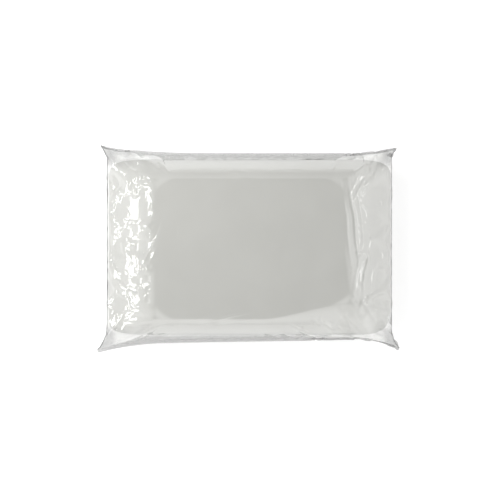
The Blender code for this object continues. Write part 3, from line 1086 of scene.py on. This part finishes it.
    def lip_stitches(self, side: int, material: bpy.types.Material) -> bpy.types.Object:
        """The row of stitches that holds a tape of the zip behind a lip of the cover."""
        where = "upper" if side > 0 else "lower"
        height = self.lips.half_height + 0.0022
        x = np.linspace(-self.lips.half_length, self.lips.half_length, 90)
        _, flat_y = self.form.flat_reach(x, np.full(len(x), -1.0))
        out = self.form.out_at(height, self.inset)
        y = -(flat_y + (self.form.half_width - self.inset - flat_y) * out) - 0.0001
        points = np.stack([x, y, np.full(len(x), self.form.middle + side * height)], axis=1)
        ups = np.tile([0.0, -1.0, side * 0.25], (len(x), 1))
        row = PathRepeat(f"zip_{where}_stitches", Motif.STITCH, 0.0032, 0.0024, 0.00045, 0.0005)
        piece = row.make(points, ups, material)
        give(piece, material)
        return piece


@dataclass
class PillowInside:
    """The foam block and the thin knit liner that keeps it clean."""

    form: PillowForm
    side_inset: float = 0.0061
    face_inset: float = 0.0030
    liner_wall: float = 0.0006
    step: float = 0.006
    foam: FoamFinish = FoamFinish("foam_pores")
    knit: KnitFinish = KnitFinish("liner_knit", (0.80, 0.80, 0.78), (0.70, 0.70, 0.68), 0.0016, 0.0013)

    def build(self) -> list[bpy.types.Object]:
        """Build the liner's halves and the foam."""
        knit = self.knit.make()
        pieces = [self.liner(1, "liner_top", knit), self.liner(-1, "liner_bottom", knit)]
        return [*pieces, self.core()]

    def liner(self, side: int, name: str, material: bpy.types.Material) -> bpy.types.Object:
        """One half of the liner."""
        points, flats = self.form.shell(side, self.side_inset, self.face_inset, self.step)
        piece = cloth_piece(name + "_cloth", points, flats, flip=side < 0)
        piece = walled_copy(piece, name + "_knit", self.liner_wall)
        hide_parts(name)
        give(piece, material)
        return piece

    def core(self) -> bpy.types.Object:
        """The foam block, closed all round."""
        inset = self.liner_wall + TOUCH_GAP
        points, quads, start = [], [], 0
        for side in (1, -1):
            half, _ = self.form.shell(side, self.side_inset + inset, self.face_inset + inset, self.step)
            rows, columns = half.shape[:2]
            half[[0, -1], :, 2] = self.form.middle
            half[:, [0, -1], 2] = self.form.middle
            points.append(half.reshape(-1, 3))
            quads.append(grid_quads(rows, columns, flip=side < 0) + start)
            start += rows * columns
        piece = mesh_piece("foam_block", np.concatenate(points), np.concatenate(quads))
        face_out(piece, merge=1e-5)
        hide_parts("foam_core")
        give(piece, self.foam.make())
        return piece


# The zip and the label


@dataclass
class CoilZip:
    """The zip in the front seam: tapes, coils, end stops, slider and pull tab."""

    coil_to_middle: float = 0.00055
    coil_height: float = 0.0023
    tape: WovenFinish = WovenFinish("zip_tape_weave", (0.80, 0.80, 0.78), (0.66, 0.66, 0.64))
    wire: ThreadFinish = ThreadFinish("zip_coil_wire", (0.84, 0.84, 0.82), (0.74, 0.74, 0.72), 0.3)
    thread: ThreadFinish = ThreadFinish("zip_stop_thread", (0.82, 0.82, 0.80), (0.70, 0.70, 0.68))
    metal: MetalFinish = MetalFinish("slider_lacquer")

    def build(self) -> list[bpy.types.Object]:
        """Build every piece of the zip."""
        tape, wire, thread = self.tape.make(), self.wire.make(), self.thread.make()
        pieces = []
        for side, where in ((1, "upper"), (-1, "lower")):
            band = refined_copy(f"zip_tape_{where}", f"zip_{where}_tape", 0.00015)
            give(band, tape)
            pieces += [band, self.coil(side, where, wire)]
        for where in ("left", "right"):
            pieces += self.stop(where, thread)
        metal = self.metal.make()
        slider = refined_copy("zip_slider", "zip_slider_body", 0.00022)
        give(slider, metal, SLIDER_BODY)
        tab = refined_copy("zip_pull_tab", "zip_pull", 0.00028)
        give(tab, metal, TAB_BODY)
        return [*pieces, slider, tab]

    def coil(self, side: int, where: str, material: bpy.types.Material) -> bpy.types.Object:
        """One row of the chain, half a pitch from the other."""
        low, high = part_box(f"zip_coil_{where}")
        middle = (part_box("zip_coil_upper")[0].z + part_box("zip_coil_lower")[1].z) / 2
        row = WireCoil(f"zip_{where}_coil", height=self.coil_height, depth=high.y - low.y)
        shift = row.pitch / 2 if side > 0 else 0.0
        centre = middle + side * (self.coil_to_middle + self.coil_height / 2)
        start = Vector((low.x + row.wire + shift, (low.y + high.y) / 2, centre))
        length = high.x - low.x - 2 * row.wire - row.pitch / 2
        piece = row.make(start, length, material)
        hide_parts(f"zip_coil_{where}")
        give(piece, material)
        return piece

    def stop(self, where: str, material: bpy.types.Material) -> list[bpy.types.Object]:
        """The bar tack that closes an end of the chain: a pad with thread wound over it."""
        node = f"zip_stop_{where}"
        low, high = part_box(node)
        pad = refined_copy(node, f"zip_{where}_stop", 0.0004)
        give(pad, material)
        count, inset = 12, 0.0003
        x = np.linspace(low.x + inset, high.x - inset, count)
        middle = (low.z + high.z) / 2
        points = np.stack([x, np.full(count, low.y + 0.0001), np.full(count, middle)], axis=1)
        ups = np.tile([0.0, -1.0, 0.0], (count, 1))
        height = high.z - low.z - 0.0004
        turns = PathRepeat(f"zip_{where}_bar_tack", Motif.STITCH, 0.00042, height, 0.0004, 0.0005, True)
        tack = turns.make(points, ups, material)
        give(tack, material)
        return [pad, tack]


@dataclass
class CareLabel:
    """A blank folded tape sewn in the rear seam, lying down the lower panel."""

    form: PillowForm
    rows: int = 24
    columns: int = 30
    wall: float = 0.00035
    curl: float = 0.0012
    finish: WovenFinish = WovenFinish(
        "label_satin", (0.86, 0.86, 0.85), (0.76, 0.76, 0.75), pitch=0.0004, depth=0.00005, roughness=0.45
    )

    def build(self) -> bpy.types.Object:
        """Build the label over the lower panel's shoulder."""
        low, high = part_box("care_label")
        x = np.linspace(low.x, high.x, self.columns)
        rise = np.linspace(0.0005, high.z - low.z, self.rows)
        x, rise = np.meshgrid(x, rise)
        _, flat_y = self.form.flat_reach(x, np.ones_like(x))
        reach = self.form.half_width - flat_y + TOUCH_GAP
        y = flat_y + reach * self.form.out_at(rise, -TOUCH_GAP)
        fall = rise / rise.max()
        middle, half = (low.x + high.x) / 2, (high.x - low.x) / 2
        y = y + self.curl * fall**2 * (0.35 + 0.3 * ((x - middle) / half) ** 2)
        points = np.stack([x, y, self.form.middle - rise], axis=-1)
        cloth = cloth_piece("care_label_cloth", points, np.stack([x, rise], axis=-1))
        piece = walled_copy(cloth, "care_label_tape", self.wall, offset=0.0)
        face_out(piece)
        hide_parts("care_label")
        give(piece, self.finish.make())
        return piece


# The film bag


@dataclass(frozen=True)
class Ear:
    """A corner of the bag that stands out from it: where its tip is, and where it starts."""

    tip: tuple[float, float, float]  # Z from the seam
    neck: float  # distance from the X axis at which the side edge starts to flare
    root: float  # distance from the Y axis at which the sealed edge starts to flare


@dataclass(frozen=True)
class Ripple:
    """A patch of soft parallel folds in the film."""

    centre: tuple[float, float]
    reach: tuple[float, float]  # how far it fades along its folds and across them
    turn: float  # degrees from +X to the folds' direction
    pitch: float
    depth: float

    def height(self, x: Array, y: Array) -> Array:
        """Height of the folds at each point, warped a little so that they don't look ruled."""
        turn = math.radians(self.turn)
        away_x, away_y = x - self.centre[0], y - self.centre[1]
        along = away_x * math.cos(turn) + away_y * math.sin(turn)
        across = away_y * math.cos(turn) - away_x * math.sin(turn)
        warp = 0.35 * lattice_noise(along, across, 2.2 * self.pitch, 21)
        fade = np.exp(-((along / self.reach[0]) ** 2) - (across / self.reach[1]) ** 2)
        wave = np.cos(2 * math.pi * across / self.pitch + 2 * warp)
        return self.depth * fade * (0.5 * wave + 0.5 * np.abs(wave))


@dataclass(frozen=True)
class CreaseNet:
    """A random net of thin raised lines in the film."""

    cell: float
    seed: int
    weight: float = 1.0
    squeeze: float = 1.0  # by how much the net is finer across the bag
    line: float = 0.22  # half width of a line, as a share of the noise's swing

    def height(self, u: Array, v: Array) -> Array:
        """The weight on a line and 0 away from it."""
        net = lattice_noise(u, self.squeeze * v, self.cell, self.seed)
        return self.weight * np.exp(-((net / self.line) ** 2))


@dataclass(frozen=True)
class Stage:
    """A part of the film's relaxing."""

    steps: int
    sweeps: int  # over the film in each step
    stiffness: float  # resistance to bending
    grip: float  # how firmly the ears and the edges are drawn to their places
    stir: float = 0.0  # unevenness given to the film once its grid's spacing is halved, in metres


@dataclass
class FilmSolver:
    """Relaxes a flat pouch of two film webs over the pillow as it grows to its full height.

    Web 0 is the upper one. Rows run along Y and columns along X; each heat seal has two rows
    more than the web between the seals.
    """

    form: PillowForm
    length: float
    width: float
    seal: float
    ears: dict[tuple[int, int], Ear]
    side_reach: tuple[float, float] = (0.3080, 0.3060)  # of the left and the right edge
    front_reach: tuple[float, float] = (0.2105, 0.1985)  # of the front edge, at its left and right end
    rear_reach: tuple[float, float] = (0.2040, 0.2030)
    step: float = 0.008
    offset: float = 0.0009
    seed: int = 7
    slack_left: float = 0.022  # share by which the threads are longer at the left end
    slack_right: float = 0.016
    slack_left_from: float = 0.15  # distance from the middle at which that starts
    slack_right_from: float = 0.17
    slack_over: float = 0.06
    slack_spread: float = 0.8  # how much it varies from place to place
    start_height: float = 0.008  # half height of the pillow at the start
    floor_gap: float = 0.0001
    stages: tuple[Stage, ...] = (
        Stage(150, 3, 0.04, 0.0),
        Stage(90, 3, 0.04, 0.05),
        Stage(60, 4, 0.02, 0.05, stir=0.0003),
        Stage(24, 3, 0.01, 0.05, stir=0.00012),
    )
    quick_stage: Stage = Stage(90, 2, 0.05, 0.03)
    shear: float = 0.8
    flatness: float = 0.5  # how firmly a seal stays in line with the webs
    weight: float = 6e-6  # fall in a time step
    points: Array = field(init=False)
    before: Array = field(init=False)
    random: np.random.Generator = field(init=False)

    def __post_init__(self) -> None:
        """Lay the pouch out flat, with a slight unevenness."""
        self.random = np.random.default_rng(self.seed)
        self.columns = round(self.length / self.step)
        self.rows = round((self.width - 2 * self.seal) / self.step)
        self.measure()
        flat_x, flat_y = np.meshgrid(self.xs, self.ys)
        self.points = np.zeros((2, len(self.ys), len(self.xs), 3))
        self.points[..., 0] = flat_x
        self.points[..., 1] = flat_y
        self.points[..., 2] = np.array([0.001, -0.001])[:, None, None]
        self.points[..., 2] += 0.0005 * self.unevenness(4)
        self.before = self.points.copy()
        self.set_rest_lengths()

    def measure(self) -> None:
        """Work out where the rows and columns lie in the flat pouch."""
        inner = self.width / 2 - self.seal
        self.xs = np.linspace(-self.length / 2, self.length / 2, self.columns + 1)
        web = np.linspace(-inner, inner, self.rows + 1)
        sealed = np.array([self.width / 2, self.width / 2 - self.seal / 2])
        self.ys = np.concatenate([-sealed, web, sealed[::-1]])
        self.gaps_x = np.diff(self.xs)[None, None, :]
        self.gaps_y = np.diff(self.ys)[None, :, None]

    def unevenness(self, smoothing: int) -> Array:
        """Seeded noise over both webs, smoothed a number of times, with a deviation of 1."""
        noise = self.random.normal(0, 1, (2, len(self.ys), len(self.xs)))
        for _ in range(smoothing):
            inner = noise[:, :-2, 1:-1] + noise[:, 2:, 1:-1] + noise[:, 1:-1, :-2] + noise[:, 1:-1, 2:]
            noise[:, 1:-1, 1:-1] = inner / 4
        return noise / noise.std()

    def set_rest_lengths(self) -> None:
        """Set the lengths that the film keeps, a little longer where it lies slack at the ends."""
        flat_x, flat_y = np.meshgrid(self.xs, self.ys)
        ends = self.slack_left * ramp((-flat_x - self.slack_left_from) / self.slack_over)
        ends = ends + self.slack_right * ramp((flat_x - self.slack_right_from) / self.slack_over)
        inside = ramp((self.width / 2 - self.seal - np.abs(flat_y)) / 0.03)
        slack = 1 + ends * inside * (1 + self.slack_spread * self.unevenness(10))
        self.rest_x = self.gaps_x * (slack[:, :, 1:] + slack[:, :, :-1]) / 2
        self.rest_y = self.gaps_y * (slack[:, 1:] + slack[:, :-1]) / 2
        mean = (slack[:, 1:, 1:] + slack[:, 1:, :-1] + slack[:, :-1, 1:] + slack[:, :-1, :-1]) / 4
        self.rest_diagonal = np.sqrt(self.gaps_x**2 + self.gaps_y**2) * mean

    def refine(self) -> None:
        """Halve the spacing of the grid."""
        points = doubled(self.points, 2)
        web = doubled(points[:, 2:-2], 1)
        self.points = np.concatenate([points[:, :2], web, points[:, -2:]], axis=1)
        self.columns *= 2
        self.rows *= 2
        self.measure()
        self.set_rest_lengths()
        self.before = self.points.copy()

    def pull(self, first: tuple, second: tuple, rest: Array, stiffness: float) -> None:
        """Bring pairs of points to their rest length.

        Args:
            first: Index of the first points.
            second: Index of the second points, none of which is among the first.
            rest: The lengths to keep.
            stiffness: Share of the error to mend at once.
        """
        near, far = self.points[first], self.points[second]
        between = far - near
        length = np.sqrt(np.einsum("...i,...i", between, between)) + 1e-12
        change = (0.5 * stiffness * (1 - rest / length))[..., None] * between
        self.points[first] = near + change
        self.points[second] = far - change

    def keep_lengths(self) -> None:
        """One sweep over all threads of the film and their diagonals."""
        every = slice(None)
        rows, columns = len(self.ys), len(self.xs)
        for odd in (0, 1):
            left, right = slice(odd, columns - 1, 2), slice(odd + 1, columns, 2)
            self.pull((every, every, left), (every, every, right), self.rest_x[:, :, odd::2], 1.0)
        for odd in (0, 1):
            low, high = slice(odd, rows - 1, 2), slice(odd + 1, rows, 2)
            self.pull((every, low), (every, high), self.rest_y[:, odd::2], 1.0)
            rest = self.rest_diagonal[:, odd::2]
            left, right = slice(0, columns - 1), slice(1, columns)
            self.pull((every, low, left), (every, high, right), rest, self.shear)
            self.pull((every, low, right), (every, high, left), rest, self.shear)
        for edge, inner in ((0, 2), (-1, -3)):
            self.pull((every, edge), (every, inner), np.float64(self.seal), 1.0)

    def keep_flat(self, stiffness: float) -> None:
        """Resist bending a little, along both directions of the grid."""
        change = np.zeros_like(self.points)
        along_rows = (np.s_[:, :, 2:], np.s_[:, :, 1:-1], np.s_[:, :, :-2])
        along_columns = (np.s_[:, 2:], np.s_[:, 1:-1], np.s_[:, :-2])
        for ahead, at, behind in (along_rows, along_columns):
            bent = self.points[at] - (self.points[ahead] + self.points[behind]) / 2
            if at is along_columns[1]:
                bent[:, [0, -1]] = 0
                bent[:, [1, -2]] *= 0.5
            change[at] -= bent / 2
            change[ahead] += bent / 4
            change[behind] += bent / 4
        self.points += stiffness * change

    def join_edges(self, grip: float) -> None:
        """Keep the webs together at the seals and the side welds, and guide the edges.

        Args:
            grip: How firmly the ears and the side edges are drawn to their places.
        """
        for column in (0, -1):
            self.points[:, :, column] = self.points[:, :, column].mean(0)
        for row in (0, 1, 2, -1, -2, -3):
            self.points[:, row] = self.points[:, row].mean(0)
        if not grip:
            return
        for edge, middle, inner, within in ((0, 1, 2, 4), (-1, -2, -3, -5)):
            along = unit(np.gradient(self.points[0, inner], axis=0))
            out = self.points[0, inner] - self.points[:, within].mean(0)
            out -= (out * along).sum(1, keepdims=True) * along
            out *= self.seal / (np.linalg.norm(out, axis=1, keepdims=True) + 1e-12)
            for row, share in ((edge, 1.0), (middle, 0.5)):
                rise = self.points[0, inner, :, 2] + share * out[:, 2]
                self.points[:, row, :, 2] += self.flatness * (rise - self.points[:, row, :, 2])
        for (row, column), ear in self.ears.items():
            at = self.points[:, row, column]
            at += grip * (np.array(ear.tip) - at)
        for column, side, reach in zip((0, -1), (-1, 1), self.side_reach):
            y = self.points[:, :, column, 1]
            goal = np.full_like(y, reach)
            for row, facing in ((0, -1), (-1, 1)):
                ear = self.ears[row, column]
                flare = np.clip((facing * y - ear.neck) / (abs(ear.tip[1]) - ear.neck), 0, 1)
                goal += (abs(ear.tip[0]) - reach) * flare**2
            x = self.points[:, :, column, 0]
            x += 0.5 * grip * (side * goal - x)
        for row, facing, (left, right) in zip((0, -1), (-1, 1), (self.front_reach, self.rear_reach)):
            x = self.points[:, row, :, 0]
            straight = left + (right - left) * (x / self.length + 0.5)
            goal = straight.copy()
            for column, side in ((0, -1), (-1, 1)):
                ear = self.ears[row, column]
                flare = np.clip((side * x - ear.root) / (abs(ear.tip[0]) - ear.root), 0, 1)
                goal += (abs(ear.tip[1]) - straight) * flare**2
            y = self.points[:, row, :, 1]
            y += 0.5 * grip * (facing * goal - y)

    def keep_apart(self, half_height: float) -> None:
        """Keep the film outside the pillow, the webs apart, and all of it above the floor."""
        side = np.array([1.0, -1.0])[:, None, None]
        self.form.push_out(self.points, side, self.offset, half_height)
        upper, lower = self.points[0, ..., 2], self.points[1, ..., 2]
        close = upper - lower < TOUCH_GAP
        middle = (upper + lower) / 2
        upper[close] = middle[close] + TOUCH_GAP / 2
        lower[close] = middle[close] - TOUCH_GAP / 2
        floor = -half_height - (self.form.middle - self.form.half_height) + self.floor_gap
        np.maximum(self.points[..., 2], floor, out=self.points[..., 2])

    def run(self, stage: Stage, start: float, end: float) -> None:
        """Relax the film while the pillow grows.

        Args:
            stage: How long and how firmly.
            start: Half height of the pillow at the start.
            end: Half height at the end.
        """
        damping = 0.9 if end > start else 0.8
        for step in range(stage.steps):
            half_height = start + (end - start) * ramp((step + 1) / (0.8 * stage.steps))
            moved = self.points + damping * (self.points - self.before)
            self.before = self.points.copy()
            self.points = moved
            self.points[..., 2] -= self.weight
            for _ in range(stage.sweeps):
                self.keep_lengths()
                self.keep_flat(stage.stiffness)
                self.join_edges(stage.grip)
                self.keep_apart(half_height)

    def solve(self) -> None:
        """Relax the pouch on a coarse grid and then on a finer one."""
        start, full = self.start_height, self.form.half_height
        for stage in self.stages:
            if stage.stir:
                self.refine()
                self.points[..., 2] += stage.stir * self.unevenness(3)
            self.run(stage, start, full)
            start = full


@dataclass
class FilmBag:
    """The clear bag: two webs, a heat seal along each long edge and a weld at each end."""

    form: PillowForm
    length: float = 0.664
    width: float = 0.469
    seal: float = 0.0055
    seal_thickness: float = 0.0007
    weld_radius: float = 0.0008
    crimp_pitch: float = 0.0024
    crease_depth: float = 0.0006
    ears: dict[tuple[int, int], Ear] = field(
        default_factory=lambda: {
            (0, 0): Ear((-0.332, -0.2290, -0.010), 0.168, 0.190),
            (0, -1): Ear((0.3240, -0.2235, -0.006), 0.172, 0.222),
            (-1, 0): Ear((-0.3210, 0.2175, -0.004), 0.188, 0.120),
            (-1, -1): Ear((0.3250, 0.2165, 0.004), 0.196, 0.200),
        }
    )
    swell: float = 0.0016  # of the loose film at the left
    crumpled: tuple[CreaseNet, ...] = (
        CreaseNet(0.030, 11),
        CreaseNet(0.015, 12, 0.6),
        CreaseNet(0.014, 14, 0.35, squeeze=2.2),
    )
    slanted: CreaseNet = CreaseNet(0.016, 13, squeeze=0.22)
    slant: float = 0.30
    crumpled_from: float = 0.195  # distance from the middle at which the left's creases start
    slanting_from: float = 0.205  # the same for the slanting ones at the right
    folds: tuple[Ripple, ...] = (
        Ripple((-0.016, 0.150), (0.026, 0.009), 170.0, 0.010, 0.0006),
        Ripple((-0.050, -0.150), (0.055, 0.014), 14.0, 0.015, 0.0008),
        Ripple((0.222, 0.045), (0.070, 0.020), 97.0, 0.017, 0.0013),
        Ripple((0.250, -0.050), (0.060, 0.022), 80.0, 0.020, 0.0014),
        Ripple((0.268, -0.125), (0.030, 0.020), 125.0, 0.018, 0.0013),
        Ripple((0.240, 0.130), (0.030, 0.018), 60.0, 0.016, 0.0010),
        Ripple((0.270, -0.185), (0.050, 0.012), 158.0, 0.012, 0.0008),
        Ripple((-0.208, 0.002), (0.050, 0.011), 66.0, 0.011, 0.0011),
        Ripple((-0.150, 0.032), (0.012, 0.003), 92.0, 0.008, 0.0006),
        Ripple((-0.285, 0.180), (0.035, 0.014), 140.0, 0.014, 0.0009),
        Ripple((-0.285, -0.165), (0.045, 0.014), 52.0, 0.016, 0.0009),
    )
    film: FilmFinish = FilmFinish("clear_film", (0.925, 0.925, 0.916))
    # partly painted shade: the seal bands are darker than the milky seal alone, for the shade under the bag's
    # margins
    sealed: SealFinish = SealFinish("sealed_film", (0.64, 0.64, 0.63), (0.50, 0.50, 0.50), 0.60)
    # painted shade: the side welds are coloured near black for the shadowed dark line along each end of the bag
    welded: SealFinish = SealFinish("weld_bead_painted_shade", (0.30, 0.30, 0.30), (0.12, 0.12, 0.12), 0.15)

    def build(self) -> list[bpy.types.Object]:
        """Relax the film over the pillow and build every piece of the bag."""
        solver = FilmSolver(self.form, self.length, self.width, self.seal, self.ears)
        solver.solve()
        self.crease(solver)
        self.points = solver.points
        self.points[..., 2] += self.form.middle
        self.flats = np.stack(np.meshgrid(solver.xs, solver.ys), axis=-1)
        film, sealed, welded = self.film.make(), self.sealed.make(), self.welded.make()
        pieces = [self.web(0, "bag_top_film", film), self.web(1, "bag_bottom_film", film)]
        for row, where in ((0, "front"), (-1, "rear")):
            pieces += self.heat_seal(row, where, sealed)
        for column, where in ((0, "left"), (-1, "right")):
            pieces.append(self.side_weld(column, where, welded))
        return pieces

    def crease(self, solver: FilmSolver) -> None:
        """Press fine creases into the relaxed film: crumpled at the left, slanting at the right."""
        flat_x, flat_y = np.meshgrid(solver.xs, solver.ys)
        warp_u = flat_x + 0.006 * lattice_noise(flat_x, flat_y, 0.03, 3)
        warp_v = flat_y + 0.006 * lattice_noise(flat_x, flat_y, 0.03, 4)
        crumple = sum(net.height(warp_u, warp_v) for net in self.crumpled)
        slanting = self.slanted.height(warp_u + self.slant * warp_v, warp_v - self.slant * warp_u)
        left = ramp((-flat_x - self.crumpled_from) / 0.03)
        right = 0.45 * ramp((flat_x - self.slanting_from) / 0.03)
        sides = 0.25 * ramp((np.abs(flat_y) - 0.15) / 0.02) * (1 - left) * (1 - right)
        swell = self.swell * left * lattice_noise(flat_x, flat_y, 0.034, 31)
        near_edge = np.minimum(solver.length / 2 - np.abs(flat_x), solver.width / 2 - np.abs(flat_y))
        inside = ramp((near_edge - self.seal) / 0.02)
        height = self.crease_depth * inside * (left * crumple + right * slanting + sides * crumple)
        height += inside * swell
        for web in (0, 1):
            points = solver.points[web]
            normal = unit(np.cross(np.gradient(points, axis=1), np.gradient(points, axis=0)))
            folds = sum(fold.height(points[..., 0], points[..., 1]) for fold in self.folds) if web == 0 else 0
            points += (height + folds)[..., None] * normal * (1 if web == 0 else -1)
        solver.keep_apart(self.form.half_height)
        solver.join_edges(0.0)

    def web(self, web: int, name: str, material: bpy.types.Material) -> bpy.types.Object:
        """One web of the bag, between the seals."""
        piece = cloth_piece(name + "_sheet", self.points[web, 2:-2], self.flats[2:-2], flip=web == 1)
        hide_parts(name)
        give(piece, material)
        return piece

    def heat_seal(self, row: int, where: str, material: bpy.types.Material) -> list[bpy.types.Object]:
        """The band where both webs are sealed, and the ribs of its crimp."""
        edge, inner = self.points[0, row], self.points[0, 2 if row == 0 else -3]
        along = np.gradient(inner, axis=0)
        normal = unit(np.cross(along, edge - inner))
        normal *= np.sign(normal[:, 2:3]) + (normal[:, 2:3] == 0)
        half = normal * self.seal_thickness / 2
        name = f"{where}_seal_band"
        band = closed_strip(name, [edge + half, inner + half, inner - half, edge - half])
        band.data.set_sharp_from_angle(angle=math.radians(50))
        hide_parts(f"{where}_heat_seal")
        give(band, material)
        rib = (self.seal * 0.8, 0.0006, self.seal_thickness * 1.7)
        ribs = PathRepeat(f"{where}_seal_crimp", Motif.RIB, self.crimp_pitch, *rib, across=True)
        crimp = ribs.make((edge + inner) / 2, normal, material)
        give(crimp, material)
        return [band, crimp]

    def side_weld(self, column: int, where: str, material: bpy.types.Material) -> bpy.types.Object:
        """The thin bead where the webs are welded at one end of the bag."""
        path = self.points[0, 2:-2, column]
        along = unit(np.gradient(path, axis=0))
        out = unit(np.cross(along, [0.0, 0.0, 1.0]))
        up = np.cross(out, along)
        turns = np.arange(6) * math.pi / 3
        corners = [path + self.weld_radius * (out * math.cos(turn) + up * math.sin(turn)) for turn in turns]
        piece = closed_strip(f"{where}_weld_bead", corners)
        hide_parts(f"{where}_side_weld")
        give(piece, material)
        return piece


# The studio


@dataclass(frozen=True)
class PaperFinish(Finish):
    """Studio paper, lit from behind a little."""

    light: Colour = (0.64, 0.64, 0.64)
    dark: Colour = (0.60, 0.60, 0.60)
    glow: float = 0.48

    def shader(self, tree: ShaderTree) -> bpy.types.Node:
        """The finish's nodes."""
        sheet = {
            "Base Color": tree.blend(tree.noise(tree.object_place(), 3.0), self.dark, self.light),
            "Roughness": 0.9,
            "Emission Color": (1.0, 1.0, 1.0, 1.0),
            "Emission Strength": self.glow,
        }
        return tree.add("BsdfPrincipled", sheet)


@dataclass(frozen=True)
class Softbox:
    """A square soft light at a distance from the pillow, facing it."""

    name: str
    azimuth: float  # degrees from +X
    elevation: float
    distance: float
    width: float
    height: float
    radiance: float
    in_reflections: bool = True

    def build(self, target: Vector) -> None:
        """Set the light up."""
        light = bpy.data.lights.new(self.name, "AREA")
        light.shape = "RECTANGLE"
        light.size = self.width
        light.size_y = self.height
        light.energy = self.radiance * math.pi * self.width * self.height
        turn, rise = math.radians(self.azimuth), math.radians(self.elevation)
        away = Vector((math.cos(turn) * math.cos(rise), math.sin(turn) * math.cos(rise), math.sin(rise)))
        lamp = placed(self.name, light)
        lamp.location = target + away * self.distance
        lamp.visible_glossy = self.in_reflections
        lamp.rotation_euler = (-away).to_track_quat("-Z", "Y").to_euler()


@dataclass(frozen=True)
class Studio:
    """A pale floor, an overcast surround that is darker overhead, softboxes and the camera."""

    centre: Vector
    floor_radius: float = 30.0
    paper: PaperFinish = PaperFinish("studio_paper")
    surround: float = 0.875
    sky: tuple[tuple[float, float], ...] = (  # heights and how bright it is there
        (0.62, 1.0), (0.90, 0.80), (0.955, 0.55), (0.985, 0.32), (1.0, 0.26)
    )
    lean_from: tuple[float, float] = (0.04, 0.30)  # heights between which the sides start to differ
    lean: tuple[float, float] = (-0.22, -0.46)  # by how much it is brighter towards +X and +Y
    right_wall: float = 0.65  # by how much brighter the surround is at the right
    lens: float = 120.0
    camera_height: float = 3.597
    camera_place: tuple[float, float] = (0.0005, -0.0062)
    softboxes: tuple[Softbox, ...] = (
        Softbox("corner_fill", 142.0, 50.0, 1.25, 0.5, 0.5, 8.0, in_reflections=False),
        Softbox("left_softbox", 180.0, 37.0, 2.3, 0.7, 0.40, 3.6),
        Softbox("front_left_softbox", 203.0, 25.0, 2.3, 0.6, 0.5, 3.4),
        Softbox("rear_left_softbox", 152.0, 26.0, 2.3, 0.5, 0.3, 3.2),
        Softbox("left_window", 168.0, 60.0, 2.3, 0.6, 0.18, 4.2),
        Softbox("right_softbox", 8.0, 44.0, 2.6, 0.9, 0.14, 1.8),
    )

    def build(self) -> None:
        """Build the studio round the object."""
        self.build_floor()
        self.build_surround()
        for softbox in self.softboxes:
            softbox.build(self.centre)
        self.build_camera()
        bpy.context.scene.view_settings.view_transform = "Standard"

    def build_floor(self) -> None:
        """A wide pale disc under the object."""
        shape = bmesh.new()
        bmesh.ops.create_circle(shape, cap_ends=True, segments=96, radius=self.floor_radius)
        mesh = bpy.data.meshes.new("studio_floor")
        shape.to_mesh(mesh)
        shape.free()
        mesh.materials.append(self.paper.make())
        placed("studio_floor", mesh)

    def build_surround(self) -> None:
        """Light from all round: bright near the horizon and dim straight overhead."""
        world = bpy.data.worlds.new("studio_surround")
        world.use_nodes = True
        world.node_tree.nodes.clear()
        bpy.context.scene.world = world
        tree = ShaderTree(world.node_tree)
        direction = tree.add("TexCoord").outputs["Generated"]
        parts = tree.add("SeparateXYZ", {0: direction})
        height = tree.add("ValToRGB", {0: parts.outputs["Z"]})
        stops = height.color_ramp.elements
        stops.remove(stops[1])
        stops[0].position, stops[0].color = 0.0, (1, 1, 1, 1)
        for position, level in self.sky:
            stops.new(position).color = (level, level, level, 1)
        low, high = self.lean_from
        above = {"Value": parts.outputs["Z"], "From Min": low, "From Max": high}
        raised = tree.add("MapRange", above).outputs[0]
        side = tree.maths("MULTIPLY", parts.outputs["X"], self.lean[0])
        side = tree.maths("MULTIPLY_ADD", parts.outputs["Y"], self.lean[1], side)
        level = tree.maths("MULTIPLY_ADD", side, raised, 1.0)
        bright = {"Value": parts.outputs["X"], "From Min": 0.10, "From Max": 0.65}
        wall = tree.add("MapRange", bright, interpolation_type="SMOOTHSTEP").outputs[0]
        level = tree.maths("MULTIPLY_ADD", wall, self.right_wall, level)
        strength = tree.maths("MULTIPLY", level, self.surround)
        sky = tree.add("Background", {"Color": height.outputs[0], "Strength": strength})
        tree.add("OutputWorld", {"Surface": sky.outputs[0]})

    def build_camera(self) -> None:
        """A long lens straight overhead."""
        data = bpy.data.cameras.new("camera")
        data.lens = self.lens
        data.sensor_width = 36.0
        data.clip_end = 100.0
        camera = placed("camera", data)
        camera.location = (*self.camera_place, self.centre.z + self.camera_height)
        bpy.context.scene.camera = camera


def main() -> None:
    """Build the pillow from the inside out, and then the studio."""
    logging.basicConfig(level=logging.INFO, format="%(asctime)s %(message)s")
    form = PillowForm.from_frame()
    _, tape_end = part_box("zip_tape_upper")
    lips = ZipLips(tape_end.x + LIP_PAST_TAPE, LIP_HALF_HEIGHT)
    assemblies = [
        ("inside", PillowInside(form)),
        ("zip", CoilZip()),
        ("cover", KnitCover(form, lips)),
        ("label", CareLabel(form)),
        ("bag", FilmBag(form)),
    ]
    for name, assembly in assemblies:
        built = assembly.build()
        for piece in built if isinstance(built, list) else [built]:
            LOG.info("%s: %s, %d faces", name, piece.name, len(piece.data.polygons))
    Studio(Vector((0.0, 0.0, form.middle))).build()


if __name__ == "__main__":
    main()
